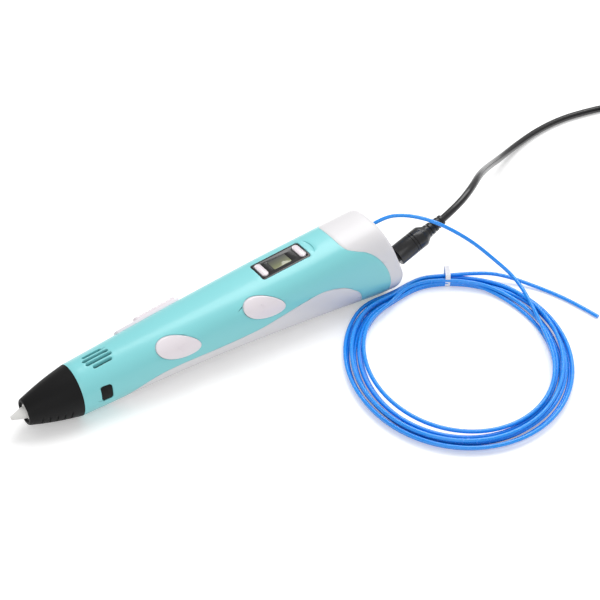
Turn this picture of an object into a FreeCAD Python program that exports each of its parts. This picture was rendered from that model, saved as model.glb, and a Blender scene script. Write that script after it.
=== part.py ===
import FreeCAD, Part
import math
import os

# A hand-held 3-D drawing pen with its power lead and its coil of filament.
# Millimetres. While it is modelled, x runs back from the nozzle tip along the belly,
# y is to the right of somebody who looks along +x, and z is up from the table.
# Everything is moved forward by half the pen's length when it is written.

V = FreeCAD.Vector

# --- overall pen ---------------------------------------------------------------------
LENGTH = 184.0            # nozzle tip to the rearmost point of the tail cap
TAIL_WIDTH = 31.0         # widest, at the tail
TAIL_HEIGHT = 40.7        # top line above the table, carried on to the rearmost point
NOSE_DIA = 22.2           # body where the black nose cone meets it
NOSE_X = 27.0             # joint line between nose cone and body
BELLY_ARCH = 4.0          # rise of the belly line between nose and tail
BELLY_FLAT = 0.25         # depth that is planed off the belly to make flat rests
REAR_LEAN = 21.9          # lean of the rear face, degrees from upright
TAIL_CORNER_R = 10.0      # lower rear corner, seen from the side
RIM_R = 2.2               # rounding of the rear face's rim
SQUARENESS = 2.76         # exponent of the tail's section; the nose is round (2)
WALL = 1.8                # shell wall

# --- fits ------------------------------------------------------------------------------
FIT = 0.15                # easy sliding clearance of a plastic piece in its opening
SEAT = 0.05               # clearance of a piece that is pushed home
RUN = 0.03                # radial running clearance of a shaft
NIP = 0.05                # clearance of the wheels from the filament

# --- hot end and feed axis ---------------------------------------------------------------
FEED_TILT = 3.0           # the feed axis rises towards the tail, degrees
FILAMENT_DIA = 1.75
GUIDE_BORE = 2.1
GUIDE_DIA = 3.0
TIP_LENGTH = 5.4          # bare ceramic cone of the nozzle
TIP_DIA = 1.8
TIP_BASE_DIA = 5.0
NOZZLE_BORE = 0.7
COLLAR_DIA = 6.6
COLLAR_END = 9.0
SHANK_DIA = 4.8
SHANK_END = 16.0
MELT_FRONT = 5.0          # where the solid filament ends inside the nozzle
HEATER_DIA = 8.4
HEATER_END = 31.0
MELT_TUBE_DIA = 3.2
MELT_TUBE_END = 44.0
INSULATOR_FROM = 33.0
INSULATOR_TO = 38.0

# --- nose cone ---------------------------------------------------------------------------
CONE_FRONT_X = 5.6
CONE_FRONT_DIA = 10.9
CONE_BULGE = 0.45         # how far the cone's side swells past a straight line
CONE_WALL = 2.2
CONE_FACE = 1.2           # thickness of the recessed front face
CONE_RECESS = 0.8
SKIRT_WALL = 1.2
SKIRT_END = 42.0
TAB_X = 37.1              # snap tab and its window
TAB_LENGTH = 5.0
TAB_HEIGHT = 7.0
TAB_Z = 12.7
TAB_SUNK = 0.25           # the tab stops this far below the body's surface

# --- vent ----------------------------------------------------------------------------------
VENT_X = 38.8
VENT_LENGTHS = (8.6, 11.6, 11.6, 8.6)
VENT_WIDTH = 1.45
VENT_PITCH = 2.3
VENT_Y = -0.95            # the slots' middle
VENT_DIAGONAL = 0.45      # each slot starts this much further back than the one beside it

# --- oval feed and retract buttons -----------------------------------------------------------
BUTTON_ANGLE = -63.0      # round from the top, towards -y
BUTTON_X = (70.4, 110.9)
BUTTON_LENGTH = 20.0
BUTTON_WIDTH = 9.9
BUTTON_TWIST = -20.0      # the narrow rear end is turned down, degrees
BUTTON_EGG = 0.16         # share by which the front end is wider
BUTTON_PROUD = 0.6
BUTTON_TRAVEL = 0.6
FLANGE = 0.9              # how far a button's flange reaches under the shell
FLANGE_WALL = 0.8
SWITCH_SIDE = 4.4
SWITCH_HEIGHT = 1.5
PLUNGER_HEIGHT = 0.4
PLUNGER_DIA = 2.0
BOARD = 0.8               # thickness of the small circuit boards

# --- display ---------------------------------------------------------------------------------
DISPLAY_X = 127.6
BEZEL_LENGTH = 24.3
BEZEL_WIDTH = 11.2
BEZEL_CORNER = 1.2
BEZEL_TOP = -0.3          # its face, measured from the body's top line
BEZEL_THICK = 1.3
LEDGE = 0.5
WINDOW_LENGTH = 8.8
WINDOW_WIDTH = 6.0
WINDOW_SHIFT = -0.5
WINDOW_THICK = 0.8
PILL_OFFSET = 9.6
PILL_LENGTH = 8.4
PILL_WIDTH = 2.9
PILL_PROUD = 0.5
PILL_TRAVEL = 0.5
LCD_LENGTH = 11.0
LCD_WIDTH = 8.4
DISPLAY_BOARD_TOP = -5.2
RECESS_X = 143.2          # rear edge of the nail groove behind the display
RECESS_R = 9.0
RECESS_DEPTH = 0.6
RECESS_RUN = 2.4

# --- speed slider on the +y side ---------------------------------------------------------------
SLIDER_ANGLE = 56.0
SLIDER_X = 68.3
TRACK_LENGTH = 31.4
TRACK_WIDTH = 5.2
TRACK_PROUD = 0.9
TRACK_SUNK = 0.9
KNOB_LENGTH = 20.0
KNOB_WIDTH = 3.8
KNOB_HEIGHT = 1.2
KNOB_TRAVEL = 8.0         # forward from the slow end, where it is drawn
KNOB_RIBS = 11
RIB_DEPTH = 0.35
NECK = (4.0, 1.6)
POT_LENGTH = 18.0
POT_WIDTH = 4.4
POT_THICK = 1.6

# --- feeder ------------------------------------------------------------------------------------
FEEDER_U = 74.0           # feed wheel, along the feed axis from the tip
WHEEL_DIA = 8.0
WHEEL_WIDTH = 3.0
WHEEL_TEETH = 28
TOOTH = 0.35
AXLE_DIA = 2.0
ROLLER_DIA = 6.0
ROLLER_PIN_DIA = 1.5
LEVER_ARM = 9.0           # roller pin to lever pivot
LEVER_OPEN = 5.0          # degrees that the lever swings down
PINION_R = 2.5            # pitch radii of the two bevel gears
GEAR_R = 5.0
MESH = 0.12               # the bevel gears' tooth envelopes stay this far apart
MOTOR_Y = 4.5
MOTOR_DIA = 10.0
GEARBOX_FROM = 81.0
GEARBOX_LENGTH = 12.0
MOTOR_LENGTH = 15.0
MOTOR_SHAFT_DIA = 1.5

# --- fan ---------------------------------------------------------------------------------------
FAN_U = 53.0
FAN_DIA = 10.4
FAN_BOTTOM = 6.4
FAN_THICK = 3.2
FAN_BLADES = 7

# --- tail --------------------------------------------------------------------------------------
JACK_Y = -7.0
JACK_Z = 15.7             # where the jack's axis meets the rear face
JACK_DIA = 9.0
JACK_LENGTH = 12.0
BARREL_DIA = 5.5
BARREL_LENGTH = 9.5
CONTACT_DIA = 2.1
INLET = (180.6, 6.0, 28.0)          # filament route inside the tail, outermost point
INLET_INNER = (158.0, 4.2, 22.4)
INLET_BEND = 128.0                  # where the route leaves the feed axis
FERRULE_DIA = 4.6
FERRULE_LENGTH = 7.0

# --- main board ----------------------------------------------------------------------------------
MAIN_BOARD_X = (113.0, 160.0)
MAIN_BOARD_WIDTH = 15.0
MAIN_BOARD_TOP = 9.0
MAIN_BOARD_THICK = 1.0

# --- case screws ---------------------------------------------------------------------------------
SCREWS = ((92.0, 7.5), (152.0, 10.2))     # x, and y each side
SCREW_DIA = 2.0
SCREW_HEAD_DIA = 3.8
SCREW_LENGTH = 6.6
THREAD = 0.2              # screws are drawn at their root diameter
BOSS_DIA = 4.6

# --- power lead ------------------------------------------------------------------------------------
LEAD_DIA = 3.5
PLUG_DIA = 9.7
PLUG_LENGTH = 17.6
PLUG_TAPER = 2.6
RELIEF_LENGTH = 9.6
RELIEF_DIA = 6.4
LEAD_COIL_DIA = 40.0      # mean of the put-away turns
LEAD_COIL_BUNDLE = 12.0
LEAD_COIL_CENTRE = (391.0, 24.0)
LEAD_ROUTE = (            # leaves the plug, comes down to the table and runs to the coil
    (219.0, -6.9, 30.9), (231.0, -1.8, 33.0), (244.0, 8.2, 29.8), (258.0, 19.5, 22.0),
    (272.5, 31.0, 13.4), (288.5, 41.5, 6.2), (306.0, 50.0, 2.6), (325.0, 55.6, 1.9),
    (344.5, 57.8, 1.76), (363.0, 55.6, 1.76), (379.0, 49.0, 2.2))
USB_BODY = (24.0, 12.4, 6.6)
USB_SHELL = (12.0, 12.0, 4.5)

# --- filament ----------------------------------------------------------------------------------------
COIL_CENTRE = (176.0, -62.5)
COIL_LEAN = -34.0         # direction of its short axis, degrees from +x
COIL_OUTER = (49.5, 58.5)
COIL_INNER = (39.5, 47.5)
COIL_HEIGHT = 5.4
COIL_CLEAR = 1.0          # from the pen's side, against which the coil lies
FILAMENT_ROUTE = (        # leaves the inlet, passes over the plug and falls to the coil
    (186.5, 4.6, 30.6), (192.6, 0.4, 31.8), (198.3, -5.8, 31.8), (203.7, -12.4, 30.2),
    (210.0, -18.4, 26.0), (217.0, -22.8, 19.8), (223.3, -28.8, 12.6), (227.3, -37.5, 7.4),
    (228.4, -47.5, 5.2))
FREE_END_ROUTE = (
    (204.0, -24.6, 3.6), (215.0, -23.8, 3.2), (227.0, -29.4, 1.8), (236.6, -44.0, 0.95),
    (242.4, -60.2, 0.9), (244.6, -75.8, 0.9))


# ===== helpers =====================================================================================
def box(x0, x1, y0, y1, z0, z1):
    return Part.makeBox(x1 - x0, y1 - y0, z1 - z0, V(x0, y0, z0))


def block(length, width, height, centre):
    return box(centre[0] - length / 2, centre[0] + length / 2, centre[1] - width / 2,
               centre[1] + width / 2, centre[2] - height / 2, centre[2] + height / 2)


def rod(start, end, radius):
    start, end = V(*start), V(*end)
    return Part.makeCylinder(radius, (end - start).Length, start, end - start)


def taper(start, end, r_start, r_end):
    start, end = V(*start), V(*end)
    return Part.makeCone(r_start, r_end, (end - start).Length, start, end - start)


def turned(profile):
    """A solid of revolution about local x from (x, radius) pairs."""
    points = [V(x, 0, r) for x, r in profile]
    wire = Part.makePolygon(points + points[:1])
    return Part.Face(wire).revolve(V(0, 0, 0), V(1, 0, 0), 360)


def placed(shape, frame):
    shape = shape.copy()
    shape.Placement = frame.multiply(shape.Placement)
    return shape


def rounded_plate(length, width, corner, z0, z1, centre=(0, 0)):
    plate = block(length, width, z1 - z0, (centre[0], centre[1], (z0 + z1) / 2))
    uprights = [e for e in plate.Edges if abs(e.tangentAt(e.FirstParameter).z) > 0.99]
    return plate.makeFillet(corner, uprights)


def pipe(points, radius):
    """Round tube along straight runs joined by the largest tangent arcs the runs allow."""
    edges, radii = [], []
    points = [V(*p) for p in points]
    last = points[0]
    for before, corner, after in zip(points, points[1:], points[2:]):
        one, two = before - corner, after - corner
        run = min(one.Length, two.Length)
        one.normalize()
        two.normalize()
        half_turn = (math.pi - one.getAngle(two)) / 2
        back = 0.45 * run
        radii.append(back / math.tan(half_turn))
        start, end = corner + one * back, corner + two * back
        middle = one + two
        middle.normalize()
        inset = radii[-1] / math.cos(half_turn) - radii[-1]
        edges.append(Part.LineSegment(last, start).toShape())
        edges.append(Part.Arc(start, corner + middle * inset, end).toShape())
        last = end
    edges.append(Part.LineSegment(last, points[-1]).toShape())
    path = Part.Wire(edges)
    ring = Part.Wire(Part.makeCircle(radius, points[0], points[1] - points[0]))
    solid = path.makePipeShell([ring], True, False)
    return solid, path, radii


# ===== the pen's outer form ==========================================================================
def share(x):
    return (x - NOSE_X) / (LENGTH - NOSE_X)


def half_width(x):
    return NOSE_DIA / 2 + (TAIL_WIDTH - NOSE_DIA) / 2 * math.sin(math.pi / 2 * min(share(x) / 0.95, 1))


def top_z(x):
    nose_top = NOSE_DIA - BELLY_FLAT
    return nose_top + (TAIL_HEIGHT - nose_top) * share(x)


def belly_z(x):
    return BELLY_ARCH * math.sin(math.pi * min(share(x) / 0.93, 1)) - BELLY_FLAT


def exponent(x):
    return 2 + (SQUARENESS - 2) * min(max(share(x) / 0.6, 0), 1)


def skin_point(x, angle):
    """Point and outward normal on the outer form, angle in degrees round from the top to +y."""
    w, n = half_width(x), exponent(x)
    h, middle = (top_z(x) - belly_z(x)) / 2, (top_z(x) + belly_z(x)) / 2
    s, c = math.sin(math.radians(angle)), math.cos(math.radians(angle))
    r = ((abs(s) / w) ** n + (abs(c) / h) ** n) ** (-1 / n)
    y, z = r * s, r * c
    normal = V(0, math.copysign(abs(y / w) ** (n - 1) / w, y), math.copysign(abs(z / h) ** (n - 1) / h, z))
    normal.normalize()
    return V(x, y, middle + z), normal


def skin_frame(x, angle):
    """Local frame on the outer form: x back along the surface, z outwards."""
    point, normal = skin_point(x, angle)
    along = skin_point(x + 5, angle)[0] - skin_point(x - 5, angle)[0]
    along.normalize()
    across = normal.cross(along)
    across.normalize()
    out = along.cross(across)
    return FreeCAD.Placement(point, FreeCAD.Rotation(along, across, out, "ZXY"))


def section(x, inset):
    w, n = half_width(x) - inset, exponent(x)
    top, bottom = top_z(x) - inset, belly_z(x) + inset
    h, middle = (top - bottom) / 2, (top + bottom) / 2
    points = []
    for i in range(40):
        a = 2 * math.pi * (i + 0.5) / 40
        c, s = math.cos(a), math.sin(a)
        points.append(V(x, math.copysign(w * abs(c) ** (2 / n), c),
                        middle + math.copysign(h * abs(s) ** (2 / n), s)))
    curve = Part.BSplineCurve()
    curve.interpolate(points, PeriodicFlag=True)
    return Part.Wire(curve.toShape())


def rear_profile(inset):
    """Side view of the slanted tail with its round lower corner, as a solid that keeps the inside."""
    lean = math.radians(REAR_LEAN)
    r = TAIL_CORNER_R - inset
    centre = V(LENGTH - TAIL_CORNER_R, 0, TAIL_CORNER_R)
    upper = centre + V(math.cos(lean), 0, math.sin(lean)) * r
    middle = centre + V(math.cos(lean / 2 - math.pi / 4), 0, math.sin(lean / 2 - math.pi / 4)) * r
    lower = centre + V(0, 0, -r)
    height = 80.0
    far_up = upper + V(-math.sin(lean), 0, math.cos(lean)) * height
    front = V(0, 0, lower.z)
    front_up = V(0, 0, far_up.z)
    edges = [Part.LineSegment(front, lower).toShape(), Part.Arc(lower, middle, upper).toShape(),
             Part.LineSegment(upper, far_up).toShape(), Part.LineSegment(far_up, front_up).toShape(),
             Part.LineSegment(front_up, front).toShape()]
    face = Part.Face(Part.Wire(edges))
    face.translate(V(0, -TAIL_WIDTH, 0))
    return face.extrude(V(0, 2 * TAIL_WIDTH, 0))


def form(inset):
    stations = [NOSE_X - 6 + (LENGTH + 14 - NOSE_X) * i / 13 for i in range(14)]
    loft = Part.makeLoft([section(x, inset) for x in stations], True, False)
    return loft.common(rear_profile(inset))


def outer_form():
    """The outer form with the rim of its rear face rounded."""
    solid = form(0)
    tail = LENGTH - (TAIL_HEIGHT - TAIL_CORNER_R) * math.tan(math.radians(REAR_LEAN)) - TAIL_CORNER_R
    rim = [e for e in solid.Edges if e.BoundBox.XMin > tail and e.BoundBox.YLength > 0.1
           and not (e.BoundBox.ZLength < 0.01 and e.BoundBox.XLength < 0.01)]
    return solid.makeFillet(RIM_R, rim)


def side_cut(points, closing):
    """A smooth line in side view, closed by straight corners, right through the pen."""
    curve = Part.BSplineCurve()
    curve.interpolate([V(x, -TAIL_WIDTH, z) for x, z in points])
    corners = [V(x, -TAIL_WIDTH, z) for x, z in (points[-1],) + closing + (points[0],)]
    edges = [curve.toShape()] + [Part.LineSegment(a, b).toShape() for a, b in zip(corners, corners[1:])]
    return Part.Face(Part.Wire(edges)).extrude(V(0, 2 * TAIL_WIDTH, 0))


# Joint line of the white belly shell, and of the white tail cap, in side view.
BELLY_LINE = ((37.0, -1.0), (46.0, 5.6), (58.0, 10.8), (70.0, 12.7), (88.0, 13.4), (106.6, 14.8),
              (118.2, 17.2), (130.4, 19.9), (139.7, 21.2), (149.2, 19.4), (155.9, 15.4),
              (160.3, 10.4), (163.5, -1.0))
CAP_LINE = ((152.6, 42.0), (152.5, 37.2), (154.4, 34.8), (158.5, 33.2), (163.3, 31.4),
            (167.8, 27.8), (172.2, 21.8), (175.1, 15.4), (176.6, 8.0), (176.8, -1.0))

OUTER = outer_form()
INNER = form(WALL)
LINED = form(WALL + FIT)              # outside of what fits into the shell
SKIRT_INNER = form(WALL + FIT + SKIRT_WALL)
SHELL = OUTER.cut(INNER)
BELLY_REGION = side_cut(BELLY_LINE, ())
CAP_REGION = side_cut(CAP_LINE, ((LENGTH + 20, -1.0), (LENGTH + 20, 42.0)))

TIP_Z = (NOSE_DIA / 2 - BELLY_FLAT) - NOSE_X * math.tan(math.radians(FEED_TILT))
FEED = FreeCAD.Placement(V(0, 0, TIP_Z), FreeCAD.Rotation(V(0, 1, 0), -FEED_TILT))
DISPLAY = skin_frame(DISPLAY_X, 0)
SLIDER = skin_frame(SLIDER_X, SLIDER_ANGLE)
BUTTON_FRAMES = [skin_frame(x, BUTTON_ANGLE) for x in BUTTON_X]
WHEEL_V = (FILAMENT_DIA + WHEEL_DIA) / 2 + NIP
ROLLER_V = -(FILAMENT_DIA + ROLLER_DIA) / 2 - NIP
NODES = {}


def feed_point(u, y=0.0, v=0.0):
    return FEED.multVec(V(u, y, v))


def keep(name, shape, frame=None):
    NODES[name] = placed(shape, frame) if frame else shape


def slab(x0, x1):
    return box(x0, x1, -TAIL_WIDTH, TAIL_WIDTH, -5, TAIL_HEIGHT + 10)


# ===== side buttons ===================================================================================
FLANGE_DEPTH = WALL + FIT + FLANGE_WALL
STEM = 0.5
STEM_DIA = 3.0
SWITCH_GAP = 0.1                        # left between plunger and stem at full travel
BUTTON_BOARD_TOP = -(FLANGE_DEPTH + STEM + BUTTON_TRAVEL + SWITCH_GAP + PLUNGER_HEIGHT + SWITCH_HEIGHT)
BOARD_POST_X = BUTTON_LENGTH / 2 + FLANGE + 1.6
BUTTON_FORM = form(-BUTTON_PROUD)
FLANGE_FORM = form(FLANGE_DEPTH)


def egg(grow, z0=-8.0, z1=4.0):
    """Egg-shaped prism, its blunt end towards the nose."""
    a, b = BUTTON_LENGTH / 2 + grow, BUTTON_WIDTH / 2 + grow
    points = []
    for i in range(36):
        t = 2 * math.pi * i / 36
        points.append(V(a * math.cos(t), b * math.sin(t) * (1 - BUTTON_EGG * math.cos(t)), z0))
    curve = Part.BSplineCurve()
    curve.interpolate(points, PeriodicFlag=True)
    oval = Part.Face(Part.Wire(curve.toShape())).extrude(V(0, 0, z1 - z0))
    oval.rotate(V(0, 0, 0), V(0, 0, 1), BUTTON_TWIST)
    return oval


def oval_button(frame):
    cap = placed(egg(-FIT), frame).common(BUTTON_FORM.cut(FLANGE_FORM))
    flange = placed(egg(FLANGE), frame).common(LINED.cut(FLANGE_FORM))
    stem = placed(rod((0, 0, -FLANGE_DEPTH - STEM), (0, 0, -FLANGE_DEPTH + 0.4), STEM_DIA / 2), frame)
    return cap.fuse(flange).fuse(stem)


def tact_switch(x, y, board_top, frame):
    top = board_top + SWITCH_HEIGHT
    body = block(SWITCH_SIDE, SWITCH_SIDE, SWITCH_HEIGHT, (x, y, board_top + SWITCH_HEIGHT / 2))
    plunger = rod((x, y, top), (x, y, top + PLUNGER_HEIGHT), PLUNGER_DIA / 2)
    return placed(body.fuse(plunger), frame)


def side_buttons():
    for name, frame in zip(("feed", "retract"), BUTTON_FRAMES):
        board = rounded_plate(2 * BOARD_POST_X + 2.6, 6.8, 1.0, BUTTON_BOARD_TOP - BOARD, BUTTON_BOARD_TOP)
        keep(name + "_button", oval_button(frame))
        keep(name + "_switch", tact_switch(0, 0, BUTTON_BOARD_TOP, frame))
        keep(name + "_switch_board", board, frame)


# ===== display ========================================================================================
BEZEL_BOTTOM = BEZEL_TOP - BEZEL_THICK
RIM_BOTTOM = BEZEL_BOTTOM - 1.4
PILLS = (("temp_down", -PILL_OFFSET), ("temp_up", PILL_OFFSET))
PILL_FLANGE = 0.45
PILL_FLANGE_TOP = BEZEL_BOTTOM
LCD_TOP = BEZEL_BOTTOM - SEAT


def pill(x, grow_x, grow_y, z0, z1):
    return rounded_plate(PILL_WIDTH + 2 * grow_x, PILL_LENGTH + 2 * grow_y,
                         (PILL_WIDTH / 2 + min(grow_x, grow_y)) * 0.98, z0, z1, (x, 0))


def window_hole(grow, z0, z1):
    return rounded_plate(WINDOW_LENGTH + 2 * grow, WINDOW_WIDTH + 2 * grow, 0.4, z0, z1, (WINDOW_SHIFT, 0))


def display():
    bezel = rounded_plate(BEZEL_LENGTH, BEZEL_WIDTH, BEZEL_CORNER, BEZEL_BOTTOM, BEZEL_TOP)
    for _, x in PILLS:
        bezel = bezel.cut(pill(x, FIT, FIT, BEZEL_BOTTOM - 1, BEZEL_TOP + 1))
    bezel = bezel.cut(window_hole(SEAT, BEZEL_TOP - WINDOW_THICK, BEZEL_TOP + 1))
    bezel = bezel.cut(window_hole(-0.5, BEZEL_BOTTOM - 1, BEZEL_TOP))
    keep("display_bezel", bezel, DISPLAY)
    keep("display_window", window_hole(0, BEZEL_TOP - WINDOW_THICK, BEZEL_TOP), DISPLAY)
    lcd = block(LCD_LENGTH, LCD_WIDTH, LCD_TOP - DISPLAY_BOARD_TOP,
                (WINDOW_SHIFT, 0, (LCD_TOP + DISPLAY_BOARD_TOP) / 2))
    keep("lcd_module", lcd, DISPLAY)
    switch_top = DISPLAY_BOARD_TOP + SWITCH_HEIGHT + PLUNGER_HEIGHT
    for name, x in PILLS:
        button = pill(x, 0, 0, BEZEL_BOTTOM - 0.1, BEZEL_TOP + PILL_PROUD)
        top_edge = [e for e in button.Edges if e.BoundBox.ZMin > BEZEL_TOP + PILL_PROUD - 0.01]
        button = button.makeFillet(0.3, top_edge)
        button = button.fuse(pill(x, PILL_FLANGE, 0, PILL_FLANGE_TOP - 0.7, PILL_FLANGE_TOP))
        stem_bottom = switch_top + SWITCH_GAP + PILL_TRAVEL
        button = button.fuse(rod((x, 0, stem_bottom), (x, 0, PILL_FLANGE_TOP), 1.0))
        keep(name + "_button", button, DISPLAY)
        keep(name + "_switch", tact_switch(x, 0, DISPLAY_BOARD_TOP, DISPLAY))
    board = rounded_plate(BEZEL_LENGTH + 3.6, BEZEL_WIDTH + 0.6, 1.0,
                          DISPLAY_BOARD_TOP - BOARD, DISPLAY_BOARD_TOP)
    keep("display_board", board, DISPLAY)


# ===== speed slider ====================================================================================
SLOT_FRONT = -TRACK_LENGTH / 2 + 2.0
KNOB_MIDDLE = TRACK_LENGTH / 2 - 1.2 - KNOB_LENGTH / 2
NECK_DEPTH = TRACK_PROUD + WALL + 1.2


def slot(z0, z1):
    rear = KNOB_MIDDLE + NECK[0] / 2 + FIT
    front = KNOB_MIDDLE - KNOB_TRAVEL - NECK[0] / 2 - FIT
    return box(front, rear, -NECK[1] / 2 - FIT, NECK[1] / 2 + FIT, z0, z1)


def speed_slider():
    track = rounded_plate(TRACK_LENGTH, TRACK_WIDTH, 1.5, -TRACK_SUNK, TRACK_PROUD)
    keep("speed_track", track.cut(slot(-3, 3)), SLIDER)
    knob = rounded_plate(KNOB_LENGTH, KNOB_WIDTH, 1.2, TRACK_PROUD + SEAT, TRACK_PROUD + SEAT + KNOB_HEIGHT,
                         (KNOB_MIDDLE, 0))
    pitch = (KNOB_LENGTH - 5) / (KNOB_RIBS - 1)
    top = TRACK_PROUD + SEAT + KNOB_HEIGHT
    for i in range(KNOB_RIBS):
        x = KNOB_MIDDLE - (KNOB_LENGTH - 5) / 2 + i * pitch
        knob = knob.cut(box(x - 0.3, x + 0.3, -3, 3, top - RIB_DEPTH, top + 1))
    neck = box(KNOB_MIDDLE - NECK[0] / 2, KNOB_MIDDLE + NECK[0] / 2, -NECK[1] / 2, NECK[1] / 2,
               TRACK_PROUD - NECK_DEPTH, TRACK_PROUD + SEAT + 0.2)
    keep("speed_knob", knob.fuse(neck), SLIDER)
    pot_top = TRACK_PROUD - NECK_DEPTH + 0.6
    pot = block(POT_LENGTH, POT_WIDTH, POT_THICK, (KNOB_MIDDLE - KNOB_TRAVEL / 2, 0, pot_top - POT_THICK / 2))
    groove = box(KNOB_MIDDLE - KNOB_TRAVEL - NECK[0] / 2 - FIT, KNOB_MIDDLE + NECK[0] / 2 + FIT,
                 -NECK[1] / 2 - FIT, NECK[1] / 2 + FIT, pot_top - 1.0, pot_top + 1)
    keep("slide_potentiometer", pot.cut(groove), SLIDER)


# ===== shells ==========================================================================================
def feed_drill(u0, u1, radius):
    return placed(rod((u0, 0, 0), (u1, 0, 0), radius), FEED)


def vent_slots():
    cuts = []
    for i, length in enumerate(VENT_LENGTHS):
        y = VENT_Y + (i - (len(VENT_LENGTHS) - 1) / 2) * VENT_PITCH
        x = VENT_X - VENT_DIAGONAL * (i - 1.5)
        cuts.append(rounded_plate(length, VENT_WIDTH, VENT_WIDTH * 0.49, TIP_Z + 4, TAIL_HEIGHT, (x, y)))
    return cuts


def snap_windows(grow):
    return [box(TAB_X - TAB_LENGTH / 2 - grow, TAB_X + TAB_LENGTH / 2 + grow, min(s * 4, s * 20),
                max(s * 4, s * 20), TAB_Z - TAB_HEIGHT / 2 - grow, TAB_Z + TAB_HEIGHT / 2 + grow)
            for s in (-1, 1)]


def screw_places():
    for x, y in SCREWS:
        yield x, -y
        yield x, y


def boss_with_web(x, y):
    """Screw boss of the upper shell, tied to the side wall by a web."""
    side = math.copysign(1, y)
    wall_y = side * half_width(x)
    boss = rod((x, y, BOSS_BOTTOM), (x, y, BOSS_TOP), BOSS_DIA / 2)
    web = box(x - 0.8, x + 0.8, min(y, wall_y), max(y, wall_y), BOSS_BOTTOM, BOSS_TOP)
    ear_y = wall_y - side * (WALL + 1.2)
    ear = box(x - 0.8, x + 0.8, min(ear_y, wall_y), max(ear_y, wall_y), BOSS_TOP - 1, BOSS_TOP + EAR)
    return boss.fuse([web, ear]).common(INNER)


BOSS_BOTTOM = 9.4
BOSS_TOP = 13.8
EAR = 6.4                 # the web's wall end is this much taller, to reach the upper shell


def nail_groove():
    tilt = math.degrees(math.atan2(RECESS_DEPTH, RECESS_RUN))
    frame = skin_frame(RECESS_X, 0)
    cutter = Part.makeCylinder(RECESS_R, 6, V(-RECESS_R, 0, 0))
    cutter.rotate(V(0, 0, 0), V(0, 1, 0), tilt)
    cutter.translate(V(0, 0, -RECESS_DEPTH))
    return placed(cutter, frame)


def upper_shell():
    shell = SHELL.common(slab(NOSE_X, LENGTH + 1)).cut(BELLY_REGION).cut(CAP_REGION)
    pocket = rounded_plate(BEZEL_LENGTH + 2 * SEAT, BEZEL_WIDTH + 2 * SEAT, BEZEL_CORNER, BEZEL_BOTTOM, 5)
    opening = rounded_plate(BEZEL_LENGTH - 2 * LEDGE, BEZEL_WIDTH - 2 * LEDGE, 0.8, RIM_BOTTOM - 1, 5)
    rim = rounded_plate(BEZEL_LENGTH + 3, BEZEL_WIDTH + 2.4, 1.5, RIM_BOTTOM, BEZEL_BOTTOM)
    shell = shell.fuse(placed(rim, DISPLAY).common(OUTER))
    for x in (-1, 1):
        post = rod((x * (BEZEL_LENGTH / 2 + 0.6), 0, DISPLAY_BOARD_TOP),
                   (x * (BEZEL_LENGTH / 2 + 0.6), 0, RIM_BOTTOM + 0.3), 0.9)
        shell = shell.fuse(placed(post, DISPLAY))
        for frame in BUTTON_FRAMES:
            post = rod((x * BOARD_POST_X, 0, BUTTON_BOARD_TOP), (x * BOARD_POST_X, 0, -WALL / 2), 1.0)
            shell = shell.fuse(placed(post, frame))
    for x, y in screw_places():
        shell = shell.fuse(boss_with_web(x, y))
    shell = shell.cut(placed(pocket, DISPLAY)).cut(placed(opening, DISPLAY))
    for frame in BUTTON_FRAMES:
        shell = shell.cut(placed(egg(0), frame))
    for cutter in vent_slots() + snap_windows(0):
        shell = shell.cut(cutter)
    for x, y in screw_places():
        shell = shell.cut(rod((x, y, 0), (x, y, BOSS_TOP + 1), SCREW_DIA / 2 - THREAD))
    track = rounded_plate(TRACK_LENGTH + 2 * SEAT, TRACK_WIDTH + 2 * SEAT, 1.5, -TRACK_SUNK, 5)
    shell = shell.cut(placed(track, SLIDER)).cut(placed(slot(-4, 3), SLIDER)).cut(nail_groove())
    keep("upper_shell", shell)


def belly_shell():
    shell = SHELL.common(BELLY_REGION)
    for x, y in screw_places():
        post = rod((x, y, belly_z(x)), (x, y, BOSS_BOTTOM), BOSS_DIA / 2 + 0.4)
        shell = shell.fuse(post.common(OUTER))
    for x in (MAIN_BOARD_X[0] + 5, MAIN_BOARD_X[1] - 16):
        post = rod((x, 0, belly_z(x) + WALL / 2), (x, 0, MAIN_BOARD_TOP - MAIN_BOARD_THICK), 1.8)
        shell = shell.fuse(post)
    for x, y in screw_places():
        shell = shell.cut(rod((x, y, -2), (x, y, BOSS_BOTTOM + 1), SCREW_DIA / 2 + FIT))
        shell = shell.cut(rod((x, y, -2), (x, y, SCREW_SEAT), SCREW_HEAD_DIA / 2 + FIT))
    keep("belly_shell", shell)


SCREW_SEAT = BOSS_BOTTOM - 2.0


def case_screws():
    screws = []
    for x, y in screw_places():
        head = rod((x, y, SCREW_SEAT - 1.4), (x, y, SCREW_SEAT), SCREW_HEAD_DIA / 2)
        recess = rod((x, y, SCREW_SEAT - 2), (x, y, SCREW_SEAT - 0.7), 0.6)
        shank = rod((x, y, SCREW_SEAT - 0.1), (x, y, SCREW_SEAT + SCREW_LENGTH), SCREW_DIA / 2 - THREAD)
        screws.append(head.fuse(shank).cut(recess))
    keep("case_screws", Part.makeCompound(screws))


LEAN = math.radians(REAR_LEAN)
REAR_OUT = V(math.cos(LEAN), 0, math.sin(LEAN))
REAR_ARC_CENTRE = V(LENGTH - TAIL_CORNER_R, 0, TAIL_CORNER_R)


def rear_face_x(z):
    """x of the slanted rear face at height z."""
    upper = REAR_ARC_CENTRE + REAR_OUT * TAIL_CORNER_R
    return upper.x - (z - upper.z) * math.tan(LEAN)


JACK_FACE = V(rear_face_x(JACK_Z), JACK_Y, JACK_Z)
INLET_DIR = V(*INLET) - V(*INLET_INNER)
INLET_DIR.normalize()


def jack_rod(start, end, radius):
    """Cylinder on the power jack's axis, distances measured out from the rear face."""
    return rod(tuple(JACK_FACE + REAR_OUT * start), tuple(JACK_FACE + REAR_OUT * end), radius)


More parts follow.
